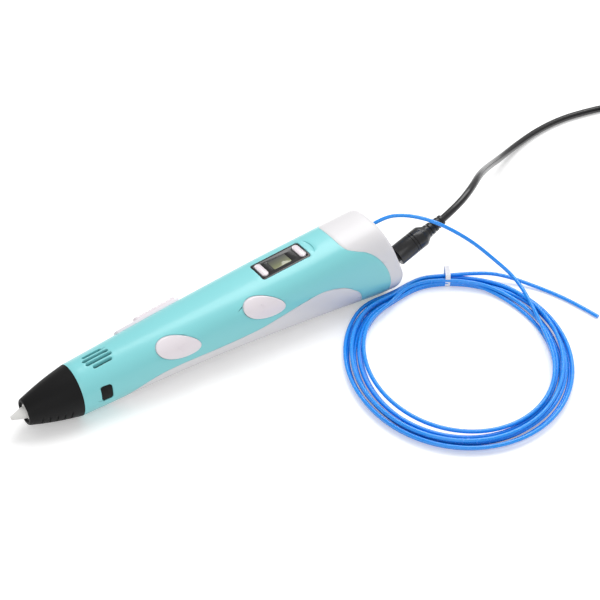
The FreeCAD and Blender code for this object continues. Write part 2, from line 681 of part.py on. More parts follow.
def inlet_rod(start, end, radius):
    return rod(tuple(V(*INLET) + INLET_DIR * start), tuple(V(*INLET) + INLET_DIR * end), radius)


def tail_cap():
    cap = SHELL.common(CAP_REGION)
    collar = jack_rod(-4.0, -WALL / 2, JACK_DIA / 2 + 1.4)
    cap = cap.fuse(collar).fuse(inlet_rod(-FERRULE_LENGTH, -2.6, FERRULE_DIA / 2 + 1.2).common(INNER))
    cap = cap.cut(jack_rod(-20, 5, JACK_DIA / 2 + SEAT)).cut(inlet_rod(-20, 5, FERRULE_DIA / 2 + SEAT))
    keep("tail_cap", cap)


def nose_cone():
    def ring(x, inset):
        f = (x - CONE_FRONT_X) / (NOSE_X - CONE_FRONT_X)
        r = CONE_FRONT_DIA / 2 + (NOSE_DIA - CONE_FRONT_DIA) / 2 * f + CONE_BULGE * math.sin(math.pi * f)
        z = TIP_Z + x * math.tan(math.radians(FEED_TILT))
        return Part.Wire(Part.makeCircle(r - inset, V(x, 0, z), V(1, 0, 0)))
    xs = [CONE_FRONT_X + (NOSE_X - CONE_FRONT_X) * i / 5 for i in range(6)]
    cone = Part.makeLoft([ring(x, 0) for x in xs], True, False)
    cone = cone.common(box(0, LENGTH, -TAIL_WIDTH, TAIL_WIDTH, 0, TAIL_HEIGHT))
    hollow = Part.makeLoft([ring(x, CONE_WALL) for x in xs], True, False)
    cone = cone.cut(hollow.common(slab(CONE_FRONT_X + CONE_RECESS + CONE_FACE, NOSE_X + 1)))
    skirt = LINED.cut(SKIRT_INNER).common(slab(NOSE_X - 2.5, SKIRT_END))
    tabs = Part.makeCompound(snap_windows(-FIT)).common(form(TAB_SUNK)).cut(SKIRT_INNER)
    cone = cone.fuse(skirt).fuse(tabs)
    cone = cone.cut(feed_drill(0, CONE_FRONT_X + CONE_RECESS, CONE_FRONT_DIA / 2 - 1.0))
    cone = cone.cut(feed_drill(0, 12, COLLAR_DIA / 2 + FIT))
    air = box(VENT_X - 6.2, SKIRT_END + 1, -5.4, 5.4, TIP_Z + 6, TAIL_HEIGHT)
    keep("nose_cone", cone.cut(air))


# ===== hot end, on the feed axis =========================================================================
def hot_end():
    r = FILAMENT_DIA / 2
    bore = GUIDE_BORE / 2
    nozzle = turned([(0, NOZZLE_BORE / 2), (0, TIP_DIA / 2), (TIP_LENGTH, TIP_BASE_DIA / 2),
                     (TIP_LENGTH + 1.0, TIP_BASE_DIA / 2), (TIP_LENGTH + 1.0, COLLAR_DIA / 2),
                     (COLLAR_END, COLLAR_DIA / 2), (COLLAR_END, SHANK_DIA / 2), (SHANK_END, SHANK_DIA / 2),
                     (SHANK_END, bore), (4.6, bore), (2.6, NOZZLE_BORE / 2)])
    keep("ceramic_nozzle", nozzle, FEED)
    heater = turned([(COLLAR_END, SHANK_DIA / 2 + SEAT), (COLLAR_END, HEATER_DIA / 2),
                     (HEATER_END, HEATER_DIA / 2), (HEATER_END, MELT_TUBE_DIA / 2 + SEAT),
                     (SHANK_END, MELT_TUBE_DIA / 2 + SEAT), (SHANK_END, SHANK_DIA / 2 + SEAT)])
    keep("ceramic_heater", heater, FEED)
    keep("melt_tube", turned([(SHANK_END, bore), (SHANK_END, MELT_TUBE_DIA / 2),
                              (MELT_TUBE_END, MELT_TUBE_DIA / 2), (MELT_TUBE_END, bore)]), FEED)
    bead = rod((18.0, 0, HEATER_DIA / 2 + 0.75), (21.0, 0, HEATER_DIA / 2 + 0.75), 0.7)
    keep("thermistor", bead, FEED)
    ring = form(WALL + FIT + SKIRT_WALL + SEAT).common(slab(INSULATOR_FROM, INSULATOR_TO))
    lightening = [placed(rod((INSULATOR_FROM - 4, 5.2 * math.cos(a), 5.2 * math.sin(a)),
                             (INSULATOR_TO + 4, 5.2 * math.cos(a), 5.2 * math.sin(a)), 1.5), FEED)
                  for a in (math.pi * k / 3 + math.pi / 6 for k in range(6))]
    ring = ring.cut(feed_drill(20, 50, MELT_TUBE_DIA / 2 + SEAT)).cut(Part.makeCompound(lightening))
    keep("heat_insulator", ring)


# ===== fan ==================================================================================================
def fan():
    z0, z1 = FAN_BOTTOM, FAN_BOTTOM + FAN_THICK
    ring = rod((FAN_U, 0, z0), (FAN_U, 0, z1), FAN_DIA / 2)
    ring = ring.cut(rod((FAN_U, 0, z0 - 1), (FAN_U, 0, z1 + 1), FAN_DIA / 2 - 0.6))
    for k in range(3):
        spoke = box(0, FAN_DIA / 2 - 0.3, -0.3, 0.3, z0, z0 + 0.5)
        spoke.rotate(V(0, 0, 0), V(0, 0, 1), 120 * k)
        spoke.translate(V(FAN_U, 0, 0))
        ring = ring.fuse(spoke)
    ring = ring.fuse(rod((FAN_U, 0, z0), (FAN_U, 0, z0 + 0.5), 1.7))
    ring = ring.fuse(rod((FAN_U, 0, z0), (FAN_U, 0, z1 - 0.8), 0.4))
    keep("fan_frame", ring, FEED)
    hub = rod((FAN_U, 0, z0 + 0.7), (FAN_U, 0, z1), 1.6).cut(rod((FAN_U, 0, z0), (FAN_U, 0, z1 - 0.7), 0.4 + RUN))
    for k in range(FAN_BLADES):
        blade = box(1.3, FAN_DIA / 2 - 0.9, -0.2, 0.2, z0 + 1.0, z1 - 0.3)
        blade.rotate(V(0, 0, (z0 + z1) / 2), V(1, 0, 0), 35)
        blade.rotate(V(0, 0, 0), V(0, 0, 1), 360 * k / FAN_BLADES)
        blade.translate(V(FAN_U, 0, 0))
        hub = hub.fuse(blade)
    keep("fan_rotor", hub, FEED)


# ===== feeder ===============================================================================================
def star(teeth, outer, root, y0, y1):
    """Toothed prism about an axis along y."""
    points = [V(r * math.cos(math.pi * i / teeth), y0, r * math.sin(math.pi * i / teeth))
              for i, r in enumerate([outer, root] * teeth)]
    return Part.Face(Part.makePolygon(points + points[:1])).extrude(V(0, y1 - y0, 0))


CHEEK_LEFT = (-4.0, -2.9)
CHEEK_RIGHT = (5.0, 6.0)
BASE_V = (-7.6, -7.0)
PIVOT_U = FEEDER_U + LEVER_ARM


def feeder():
    at_wheel = V(FEEDER_U, 0, WHEEL_V)
    wheel = star(WHEEL_TEETH, WHEEL_DIA / 2, WHEEL_DIA / 2 - TOOTH, -WHEEL_WIDTH / 2, WHEEL_WIDTH / 2)
    wheel = wheel.cut(rod((0, -5, 0), (0, 5, 0), AXLE_DIA / 2))
    wheel.translate(at_wheel)
    keep("feed_wheel", wheel, FEED)
    axle = rod((FEEDER_U, CHEEK_LEFT[0], WHEEL_V), (FEEDER_U, CHEEK_RIGHT[1], WHEEL_V), AXLE_DIA / 2)
    keep("feed_axle", axle, FEED)

    apex_y = MOTOR_Y
    back, front = apex_y - PINION_R, apex_y - 0.6 * PINION_R
    cone = Part.makeCone(GEAR_R - MESH, 0.6 * GEAR_R - MESH, front - back, V(0, back, 0), V(0, 1, 0))
    gear = star(20, GEAR_R, GEAR_R - 0.5, back, front).common(cone)
    gear = gear.fuse(rod((0, WHEEL_WIDTH / 2, 0), (0, back + 0.1, 0), GEAR_R - 0.8))
    gear = gear.cut(rod((0, -5, 0), (0, 5, 0), AXLE_DIA / 2))
    gear.translate(at_wheel)
    keep("bevel_gear", gear, FEED)

    start, end = 0.6 * GEAR_R, GEAR_R
    cone = Part.makeCone(0.6 * PINION_R - MESH, PINION_R - MESH, end - start, V(0, start, 0), V(0, 1, 0))
    pinion = star(10, PINION_R, PINION_R - 0.5, start, end).common(cone)
    pinion = pinion.fuse(rod((0, end - 0.1, 0), (0, end + 1.0, 0), PINION_R - 0.7))
    pinion = pinion.cut(rod((0, 0, 0), (0, 20, 0), MOTOR_SHAFT_DIA / 2))
    pinion.rotate(V(0, 0, 0), V(0, 0, 1), -90)
    pinion.translate(V(FEEDER_U, MOTOR_Y, WHEEL_V))
    keep("drive_pinion", pinion, FEED)
    keep("motor_shaft", rod((FEEDER_U + start, MOTOR_Y, WHEEL_V), (GEARBOX_FROM + 2, MOTOR_Y, WHEEL_V),
                            MOTOR_SHAFT_DIA / 2), FEED)
    end = GEARBOX_FROM + GEARBOX_LENGTH
    gearbox = rod((GEARBOX_FROM, MOTOR_Y, WHEEL_V), (end, MOTOR_Y, WHEEL_V), MOTOR_DIA / 2)
    gearbox = gearbox.cut(rod((0, MOTOR_Y, WHEEL_V), (GEARBOX_FROM + 2.2, MOTOR_Y, WHEEL_V),
                              MOTOR_SHAFT_DIA / 2 + RUN))
    keep("motor_gearbox", gearbox, FEED)
    can = rod((end, MOTOR_Y, WHEEL_V), (end + MOTOR_LENGTH, MOTOR_Y, WHEEL_V), MOTOR_DIA / 2)
    can = can.common(block(200, 20, MOTOR_DIA * 0.84, (end, MOTOR_Y, WHEEL_V)))
    boss = rod((end + MOTOR_LENGTH, MOTOR_Y, WHEEL_V), (end + MOTOR_LENGTH + 1, MOTOR_Y, WHEEL_V), 1.6)
    keep("motor_can", can.fuse(boss), FEED)

    roller = rod((FEEDER_U, -1.5, ROLLER_V), (FEEDER_U, 1.5, ROLLER_V), ROLLER_DIA / 2)
    roller = roller.cut(rod((FEEDER_U, -2, ROLLER_V), (FEEDER_U, 2, ROLLER_V), ROLLER_PIN_DIA / 2 + RUN))
    keep("idler_roller", roller, FEED)
    keep("roller_pin", rod((FEEDER_U, -2.7, ROLLER_V), (FEEDER_U, 2.7, ROLLER_V), ROLLER_PIN_DIA / 2), FEED)
    arms = box(FEEDER_U - 1.6, PIVOT_U + 1.6, -2.7, 2.7, ROLLER_V - 1.5, ROLLER_V + 1.5)
    arms = arms.cut(box(FEEDER_U - 5, FEEDER_U + ROLLER_DIA / 2 + 0.5, -1.65, 1.65, -20, 20))
    arms = arms.cut(rod((FEEDER_U, -5, ROLLER_V), (FEEDER_U, 5, ROLLER_V), ROLLER_PIN_DIA / 2))
    arms = arms.cut(rod((PIVOT_U, -5, ROLLER_V), (PIVOT_U, 5, ROLLER_V), ROLLER_PIN_DIA / 2 + RUN))
    keep("idler_lever", arms, FEED)
    keep("lever_pivot", rod((PIVOT_U, CHEEK_LEFT[0], ROLLER_V), (PIVOT_U, CHEEK_RIGHT[1], ROLLER_V),
                            ROLLER_PIN_DIA / 2), FEED)

    left = box(FEEDER_U - 7.5, PIVOT_U + 3, *CHEEK_LEFT, BASE_V[0], 1.0)
    left = left.fuse(box(FEEDER_U - 3, FEEDER_U + 3, *CHEEK_LEFT, 0.9, WHEEL_V + 2.1))
    right = box(FEEDER_U - 7.5, FEEDER_U + 2.2, *CHEEK_RIGHT, -4.5, WHEEL_V + 2.1)
    right = right.fuse(box(PIVOT_U - 2.5, PIVOT_U + 3, *CHEEK_RIGHT, -6.4, -1.9))
    right = right.fuse(box(FEEDER_U - 7.5, PIVOT_U + 3, *CHEEK_RIGHT, -6.6, -3.4))
    base = box(FEEDER_U - 7.5, PIVOT_U + 3, CHEEK_LEFT[0], 4.2, *BASE_V)
    step = box(FEEDER_U - 7.5, PIVOT_U + 3, 3.3, CHEEK_RIGHT[1], -6.6, -6.1).fuse(
        box(FEEDER_U - 7.5, PIVOT_U + 3, 3.3, 4.2, BASE_V[0], -6.1))
    front = box(FEEDER_U - 7.5, FEEDER_U - 6.2, CHEEK_LEFT[0], CHEEK_RIGHT[1], -5.4, 3.0).fuse(
        box(FEEDER_U - 7.5, FEEDER_U - 6.2, CHEEK_LEFT[0], 4.2, BASE_V[0], 0))
    saddle = box(PIVOT_U + 1.9, PIVOT_U + 3, CHEEK_LEFT[0], 2.4, BASE_V[0], -0.4)
    housing = left.fuse([right, base, step, front, saddle])
    housing = housing.cut(box(FEEDER_U - 4.2, FEEDER_U + 4.2, -2.2, 2.2, -9, -6.5))
    for u, v, r in ((FEEDER_U, WHEEL_V, AXLE_DIA / 2 + RUN), (PIVOT_U, ROLLER_V, ROLLER_PIN_DIA / 2)):
        housing = housing.cut(rod((u, -8, v), (u, 8, v), r))
    housing = housing.cut(rod((50, 0, 0), (100, 0, 0), GUIDE_DIA / 2 + SEAT))
    keep("feeder_housing", housing, FEED)

    turns, wire = 3.0, 0.5
    helix = Part.makeHelix(0.55, turns * 0.55, ROLLER_PIN_DIA / 2 + 0.5)
    ring = Part.Wire(Part.makeCircle(wire / 2, V(ROLLER_PIN_DIA / 2 + 0.5, 0, 0), V(0, 1, 0)))
    coil = Part.Wire(helix.Edges).makePipeShell([ring], True, True)
    coil.rotate(V(0, 0, 0), V(1, 0, 0), -90)
    coil.translate(V(PIVOT_U, 3.1, ROLLER_V))
    keep("lever_spring", coil, FEED)


# ===== filament inside the pen ===================================================================================
def inner_route(first_u):
    start = tuple(feed_point(first_u))
    return [start, tuple(feed_point(INLET_BEND)), INLET_INNER, INLET]


def filament_guides():
    keep("front_guide", placed(turned([(MELT_TUBE_END, GUIDE_BORE / 2), (MELT_TUBE_END, GUIDE_DIA / 2),
                                       (FEEDER_U - 3.2, GUIDE_DIA / 2), (FEEDER_U - 3.2, GUIDE_BORE / 2)]),
                               FEED))
    route = inner_route(PIVOT_U - 4.0)
    inside_end = tuple(V(*INLET) - INLET_DIR * FERRULE_LENGTH)
    outer_tube, _, radii = pipe(route[:-1] + [inside_end], GUIDE_DIA / 2)
    bore, _, _ = pipe(route[:-1] + [inside_end], GUIDE_BORE / 2)
    print("guide tube radii", [round(r, 1) for r in radii])
    keep("rear_guide_tube", outer_tube.cut(bore))
    ferrule = inlet_rod(-FERRULE_LENGTH, -0.6, FERRULE_DIA / 2)
    ferrule = ferrule.cut(inlet_rod(-20, 5, GUIDE_BORE / 2))
    keep("inlet_ferrule", ferrule)
    filament, _, _ = pipe(inner_route(MELT_FRONT), FILAMENT_DIA / 2)
    keep("loaded_filament", filament)


# ===== power jack and board =========================================================================================
def electronics():
    jack = jack_rod(-JACK_LENGTH, -0.8, JACK_DIA / 2)
    jack = jack.cut(jack_rod(-BARREL_LENGTH - 0.4, 1, BARREL_DIA / 2 + SEAT))
    jack = jack.fuse(jack_rod(-BARREL_LENGTH - 0.6, -1.2, CONTACT_DIA / 2 - SEAT))
    keep("power_jack", jack)
    board = rounded_plate(MAIN_BOARD_X[1] - MAIN_BOARD_X[0], MAIN_BOARD_WIDTH, 1.0,
                          MAIN_BOARD_TOP - MAIN_BOARD_THICK, MAIN_BOARD_TOP, (sum(MAIN_BOARD_X) / 2, 0))
    keep("main_board", board)
    chips = [block(7, 5, 1.4, (122, 3.2, MAIN_BOARD_TOP + 0.7)), block(5, 4, 1.4, (132, -3.4, MAIN_BOARD_TOP + 0.7)),
             block(4, 4, 2.0, (141, 3.6, MAIN_BOARD_TOP + 1.0))]
    keep("board_chips", Part.makeCompound(chips))
    keep("capacitor", rod((151, -3.0, MAIN_BOARD_TOP), (151, -3.0, MAIN_BOARD_TOP + 5.4), 2.5))


# ===== power lead ====================================================================================================
PLUG_FRONT = 2.6                        # gap between the rear face and the plug's moulding


def plug_and_lead():
    body = jack_rod(PLUG_FRONT, PLUG_LENGTH, PLUG_DIA / 2)
    tip = JACK_FACE + REAR_OUT * PLUG_LENGTH
    end = tip + REAR_OUT * PLUG_TAPER
    body = body.fuse(taper(tuple(tip), tuple(end), PLUG_DIA / 2, RELIEF_DIA / 2))
    for s in (11.4, 12.8):
        groove = jack_rod(s, s + 0.6, PLUG_DIA).cut(jack_rod(s - 1, s + 2, PLUG_DIA / 2 - 0.35))
        body = body.cut(groove)
    barrel = jack_rod(-BARREL_LENGTH, PLUG_FRONT + 1, BARREL_DIA / 2)
    body = body.fuse(barrel).cut(jack_rod(-20, PLUG_FRONT, CONTACT_DIA / 2))
    keep("dc_plug", body)
    start, stop = PLUG_LENGTH + PLUG_TAPER, PLUG_LENGTH + PLUG_TAPER + RELIEF_LENGTH
    relief = taper(tuple(JACK_FACE + REAR_OUT * start), tuple(JACK_FACE + REAR_OUT * stop),
                   RELIEF_DIA / 2, LEAD_DIA / 2 + 0.7)
    for k in range(4):
        s = start + 1.2 + k * 2.1
        relief = relief.cut(jack_rod(s, s + 0.9, PLUG_DIA).cut(jack_rod(s - 1, s + 2, LEAD_DIA / 2 + 0.5)))
    keep("plug_strain_relief", relief)
    exit_point = JACK_FACE + REAR_OUT * stop
    lead, path, radii = pipe([tuple(exit_point)] + list(LEAD_ROUTE), LEAD_DIA / 2)
    print("lead: length %.1f, radii" % path.Length, [round(r, 1) for r in radii],
          "volume ratio %.4f" % (lead.Volume / (path.Length * math.pi * LEAD_DIA ** 2 / 4)))
    keep("power_lead", lead)


def lead_coil():
    x, y = LEAD_COIL_CENTRE
    r, b = LEAD_COIL_DIA / 2, LEAD_COIL_BUNDLE / 2
    outer = rod((x, y, 0), (x, y, 2 * b), r + b)
    coil = outer.cut(rod((x, y, -1), (x, y, 2 * b + 1), r - b))
    keep("power_lead_coil", coil)
    tie = block(3.0, LEAD_COIL_BUNDLE + 1.2, LEAD_COIL_BUNDLE + 0.6, (x, y - r, b + 0.3))
    keep("lead_tie", tie.cut(coil))
    length, width, height = USB_BODY
    body_x = x + USB_SHELL[0] / 2
    body = rounded_plate(length, width, 1.5, 2 * b, 2 * b + height, (body_x, y))
    shell = block(*USB_SHELL, (body_x - (length + USB_SHELL[0]) / 2, y, 2 * b + height / 2))
    keep("usb_plug", body.fuse(shell))


# ===== filament outside ================================================================================================
def ellipse_face(outer, z):
    ellipse = Part.Ellipse(V(0, 0, z), max(outer), min(outer))
    face = Part.Face(Part.Wire(ellipse.toShape()))
    if outer[1] > outer[0]:
        face.rotate(V(0, 0, 0), V(0, 0, 1), 90)
    face.rotate(V(0, 0, 0), V(0, 0, 1), COIL_LEAN)
    face.translate(V(COIL_CENTRE[0], COIL_CENTRE[1], 0))
    return face


def filament_outside():
    lead, path, radii = pipe([INLET] + list(FILAMENT_ROUTE), FILAMENT_DIA / 2)
    print("filament lead: length %.1f, radii" % path.Length, [round(r, 1) for r in radii],
          "volume ratio %.4f" % (lead.Volume / (path.Length * math.pi * FILAMENT_DIA ** 2 / 4)))
    keep("filament_lead", lead)
    coil = ellipse_face(COIL_OUTER, 0).extrude(V(0, 0, COIL_HEIGHT))
    coil = coil.cut(ellipse_face(COIL_INNER, -1).extrude(V(0, 0, COIL_HEIGHT + 2)))
    free, path, radii = pipe(FREE_END_ROUTE, FILAMENT_DIA / 2)
    keep("filament_coil", coil.cut(form(-COIL_CLEAR)).cut(lead).cut(free))
    print("free end: length %.1f, radii" % path.Length, [round(r, 1) for r in radii])
    keep("filament_free_end", free)


def main():
    side_buttons()
    display()
    speed_slider()
    upper_shell()
    belly_shell()
    case_screws()
    tail_cap()
    nose_cone()
    hot_end()
    fan()
    feeder()
    filament_guides()
    electronics()
    plug_and_lead()
    lead_coil()
    filament_outside()
    os.makedirs("parts", exist_ok=True)
    for name, shape in NODES.items():
        shape = shape.copy()
        shape.translate(V(-LENGTH / 2, 0, 0))
        shape.exportStep("parts/" + name + ".step")
        print("%-22s solids %d valid %s volume %.2f" % (name, len(shape.Solids), shape.isValid(), shape.Volume))


main()
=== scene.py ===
# %% [markdown]
# A hand-held 3-D drawing pen lies on a table, with its power lead plugged in at the tail and a
# loose coil of blue filament loaded from behind. The imported model gives the mechanism, the sizes
# and the places; these cells give it its looks. The next cell loads the model and moves each part's place
# into its mesh.

# %% The imported model
import math
import bpy
import bmesh
from mathutils import Vector, Matrix


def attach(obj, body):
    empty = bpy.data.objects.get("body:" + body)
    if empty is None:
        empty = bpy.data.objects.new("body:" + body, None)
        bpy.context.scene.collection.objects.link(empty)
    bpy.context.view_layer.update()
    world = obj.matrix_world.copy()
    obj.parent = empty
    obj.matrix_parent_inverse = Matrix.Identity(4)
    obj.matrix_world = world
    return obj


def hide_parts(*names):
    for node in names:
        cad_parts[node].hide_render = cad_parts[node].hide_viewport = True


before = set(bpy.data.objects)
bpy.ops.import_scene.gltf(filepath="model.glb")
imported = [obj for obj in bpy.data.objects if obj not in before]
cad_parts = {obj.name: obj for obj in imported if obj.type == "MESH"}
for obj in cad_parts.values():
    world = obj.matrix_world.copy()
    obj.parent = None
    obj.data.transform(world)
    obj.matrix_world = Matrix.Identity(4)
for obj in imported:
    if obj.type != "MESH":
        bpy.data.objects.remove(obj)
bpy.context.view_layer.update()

MM = 0.001
PEN_LENGTH = 184.0
BODY = "pen_body"

# %% [markdown]
# The pen is drawn in millimetres from the nozzle tip: x runs back to the tail, y towards the
# slider's side, z up from the table. One small helper turns such a point into the model's metres.

# %% Points in pen millimetres
def at(x, y, z):
    return Vector(((x - PEN_LENGTH / 2) * MM, y * MM, z * MM))


def deselect():
    bpy.ops.object.select_all(action="DESELECT")


def make_active(piece):
    deselect()
    piece.select_set(True)
    bpy.context.view_layer.objects.active = piece


deselect()

# %% [markdown]
# The camera looks down along the pen from its nose, to the right of the filament coil. It is an
# 85 mm lens with no shift, which gives the pen a mild perspective.

# %% Camera
def add_camera(place, azimuth, elevation, lens):
    bpy.ops.object.camera_add(location=place,
                              rotation=(math.radians(90 - elevation), 0, math.radians(azimuth)))
    camera = bpy.context.object
    camera.name = "table_camera"
    camera.data.lens = lens
    camera.data.sensor_width = 36
    camera.data.clip_start = 0.01
    bpy.context.scene.camera = camera
    return camera


add_camera((-0.22871, -0.40366, 0.39072), -34.21, 38.09, 85)
deselect()

# %% [markdown]
# A cord is one NURBS curve with a round bevel. The route's points are control points, and the
# line swings smoothly past them, as a bent cable does. The order is set once the points exist.

# %% Cord curves
def cord_curve(name, points, diameter):
    data = bpy.data.curves.new(name, "CURVE")
    data.dimensions = "3D"
    spline = data.splines.new("NURBS")
    spline.points.add(len(points) - 1)
    for knot, place in zip(spline.points, points):
        knot.co = (*place, 1)
        knot.radius = diameter / 2
    spline.order_u = 3
    spline.use_endpoint_u = True
    data.resolution_u = 5
    data.bevel_depth = 1.0
    data.bevel_resolution = 3
    data.use_fill_caps = True
    cord = bpy.data.objects.new(name, data)
    bpy.context.collection.objects.link(cord)
    return cord

# %% [markdown]
# The power lead is 1.5 m of 3.5 mm cable. It leaves the plug, comes down to the table in one
# easy bow and is wound, out of the camera's view, into a neat coil three layers high with its
# USB plug lying on top.

# %% Power lead
LEAD = 3.5
LEAD_POINTS = [(210.1, -7.0, 26.8), (219.0, -6.9, 30.9), (231.0, -1.8, 33.0), (244.0, 8.2, 29.8),
               (258.0, 19.5, 22.0), (272.5, 31.0, 13.4), (288.5, 41.5, 6.2), (306.0, 50.0, 2.6),
               (325.0, 55.6, 1.9), (344.5, 57.8, 1.76), (363.0, 55.6, 1.76), (379.0, 51.8, 1.76)]
WOUND_CENTRE = (391.0, 24.0)
WOUND_STEPS = 16
CONTROL_GROWTH = 1 / 0.981      # the curve runs this share inside its control points


def wound_turns(turns):
    """Turns that wind inwards, then outwards one layer higher, as on a drum."""
    points = []
    count = int(turns * WOUND_STEPS)
    for step in range(count + 1):
        turn = step / WOUND_STEPS
        layer = min(int(turn // 4), 2)
        across = turn - 4 * layer
        inwards = layer % 2 == 0
        radius = 25.0 - 3.4 * across if inwards else 25.0 - 3.4 * (4 - across)
        rise = 3.5 * layer
        angle = math.radians(78) - 2 * math.pi * turn
        points.append((WOUND_CENTRE[0] + radius * CONTROL_GROWTH * math.cos(angle),
                       WOUND_CENTRE[1] + radius * CONTROL_GROWTH * math.sin(angle), 1.76 + rise))
    return points


WOUND = wound_turns(10.3)
power_lead = cord_curve("power_lead_cable", [at(*p) for p in LEAD_POINTS + WOUND], LEAD * MM)
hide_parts("power_lead", "power_lead_coil")
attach(power_lead, BODY)
print("power lead:", len(LEAD_POINTS + WOUND), "control points")

# %% [markdown]
# The filament is a springy 1.75 mm plastic line that keeps the set of its spool. It goes round
# eight times in loose turns. A twist tie holds them in a tight bundle at one place, and away
# from it each turn goes its own way in one of three layers. The turns that meet the pen's side
# are pushed out by it, so the pen's outline comes first.

# %% The pen's outline
NOSE_X, NOSE_DIA, TAIL_WIDTH, TAIL_HEIGHT = 27.0, 22.2, 31.0, 40.7
REAR_LEAN, TAIL_CORNER = math.radians(21.9), 10.0
BELLY_FLAT = 0.25


def share(x):
    return (x - NOSE_X) / (PEN_LENGTH - NOSE_X)


def half_width(x):
    return NOSE_DIA / 2 + (TAIL_WIDTH - NOSE_DIA) / 2 * math.sin(math.pi / 2 * min(share(x) / 0.95, 1))


def top_line(x):
    return NOSE_DIA - BELLY_FLAT + (TAIL_HEIGHT - NOSE_DIA + BELLY_FLAT) * share(x)


def belly_line(x):
    return 4.0 * math.sin(math.pi * min(share(x) / 0.93, 1)) - BELLY_FLAT


def squareness(x):
    return 2 + 0.76 * min(max(share(x) / 0.6, 0), 1)


def tail_line(z, inset):
    """x of the slanted rear face and its round lower corner, at height z."""
    radius = TAIL_CORNER - inset
    knee = TAIL_CORNER + radius * math.sin(REAR_LEAN)
    centre = PEN_LENGTH - TAIL_CORNER
    if z > knee:
        return centre + radius * math.cos(REAR_LEAN) - (z - knee) * math.tan(REAR_LEAN)
    return centre + math.sqrt(max(radius ** 2 - (TAIL_CORNER - z) ** 2, 0))


def side_line(x, z):
    """Half width of the pen at a place on its side."""
    height = (top_line(x) - belly_line(x)) / 2
    up = abs(z - (top_line(x) + belly_line(x)) / 2) / height
    n = squareness(x)
    return half_width(x) * max(1 - up ** n, 0) ** (1 / n)

# %% Filament
FILAMENT = 1.75
LINE_POINTS = [(180.6, 6.0, 28.0), (186.5, 4.6, 30.6), (192.6, 0.4, 31.8), (198.3, -5.8, 31.8),
               (203.7, -12.4, 30.2), (210.0, -18.4, 26.0), (217.0, -22.8, 19.8),
               (223.3, -28.8, 12.6), (227.3, -37.5, 7.4), (226.0, -49.0, 4.7)]
FREE_POINTS = [(215.0, -23.6, 4.7), (226.5, -29.6, 3.6), (236.6, -44.0, 0.95),
               (242.4, -60.2, 0.9), (244.6, -75.8, 0.9)]
RING_CENTRE = (176.0, -62.5)
RING_LEAN = math.radians(-34)
RING_AXES = (48.6, 57.6)
LAYERS = (0.9, 2.65, 4.4)
# Each time round: how far inside the outermost line it runs, and on which layer.
ROUNDS = [(8.3, 2), (6.2, 1), (3.2, 1), (7.4, 0), (4.4, 0), (1.4, 0), (0.3, 1), (2.8, 2)]
# Where it then passes through the tie: how far inside, and how high.
TIED = [(6.0, 4.1), (6.9, 2.5), (5.1, 2.5), (6.0, 0.9), (4.15, 0.9), (2.3, 0.9), (3.2, 2.5), (4.2, 4.1)]
RING_STEP = 18


def ring_point(angle, inside, height):
    """A point of the coil, kept clear of the pen's side."""
    lean_cos, lean_sin = math.cos(RING_LEAN), math.sin(RING_LEAN)
    shrink = 0.0
    while True:
        short = (RING_AXES[0] - inside - shrink) * math.cos(angle)
        long = (RING_AXES[1] - inside - shrink) * math.sin(angle)
        x = RING_CENTRE[0] + short * lean_cos - long * lean_sin
        y = RING_CENTRE[1] + short * lean_sin + long * lean_cos
        outer_x, outer_y = x + inside * 0.5, y + inside * 0.8
        beyond = outer_x > tail_line(5.0, 0) + 1.4
        if beyond or outer_y < -side_line(min(outer_x, PEN_LENGTH), height + 0.9) - 1.2 or shrink > 14:
            return (x, y, height)
        shrink += 0.25


def loose(round_number, angle):
    """How the set of the spool makes this turn wander."""
    inside, layer = ROUNDS[round_number]
    reach = 1.3 if layer == 2 else 0.35
    phase = 2.1 * round_number
    return inside + reach * math.sin(2 * angle + phase) * 0.7 + reach * math.sin(angle + phase) * 0.5


def coil_rounds():
    points = []
    for number in range(len(ROUNDS)):
        start = 10 if number == 0 else 90 - RING_STEP
        stop = 90 - 360
        angle = start
        while angle >= stop - 0.1:
            after_tie = 90 - angle
            before_tie = angle - stop
            inside = loose(number, math.radians(angle))
            height = LAYERS[ROUNDS[number][1]]
            near = min(after_tie if number else 360, before_tie)
            hold = max(0.0, 1 - near / 50) ** 2 * (3 - 2 * max(0.0, 1 - near / 50))
            tied = TIED[number] if before_tie < after_tie or number == 0 else TIED[number - 1]
            inside += (tied[0] - inside) * hold
            height += (tied[1] - height) * hold
            points.append(ring_point(math.radians(angle), inside, height))
            angle -= RING_STEP
    return points


RING = coil_rounds()
filament = cord_curve("filament_line", [at(*p) for p in LINE_POINTS + RING + FREE_POINTS], FILAMENT * MM)
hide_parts("filament_lead", "filament_coil", "filament_free_end")
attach(filament, BODY)
print("filament:", len(LINE_POINTS + RING + FREE_POINTS), "control points")

# %% [markdown]
# Shader maths reads best as plain expressions. Wire wraps a socket, so that an expression on
# wires adds its Math nodes. Finish is one material: its Principled shader, and one method that
# adds any other node from its settings and inputs.

# %% Shader helpers
class Wire:
    def __init__(self, finish, socket):
        self.finish = finish
        self.socket = socket

    def maths(self, operation, *values):
        inputs = dict(enumerate(values))
        return self.finish.add("ShaderNodeMath", {"operation": operation}, inputs)

    def __add__(self, other):
        return self.maths("ADD", self, other)

    def __sub__(self, other):
        return self.maths("SUBTRACT", self, other)

    def __rsub__(self, other):
        return self.maths("SUBTRACT", other, self)

    def __mul__(self, other):
        return self.maths("MULTIPLY", self, other)

    def __truediv__(self, other):
        return self.maths("DIVIDE", self, other)

    def __abs__(self):
        return self.maths("ABSOLUTE", self)

    __radd__ = __add__
    __rmul__ = __mul__

    def above(self, limit):
        return self.maths("GREATER_THAN", self, limit)

    def sine(self):
        return self.maths("SINE", self)


def tone(red, green, blue):
    """Screen values, 0 to 255, as a linear colour."""
    def linear(value):
        value = value / 255
        return value / 12.92 if value <= 0.04045 else ((value + 0.055) / 1.055) ** 2.4
    return (linear(red), linear(green), linear(blue), 1.0)


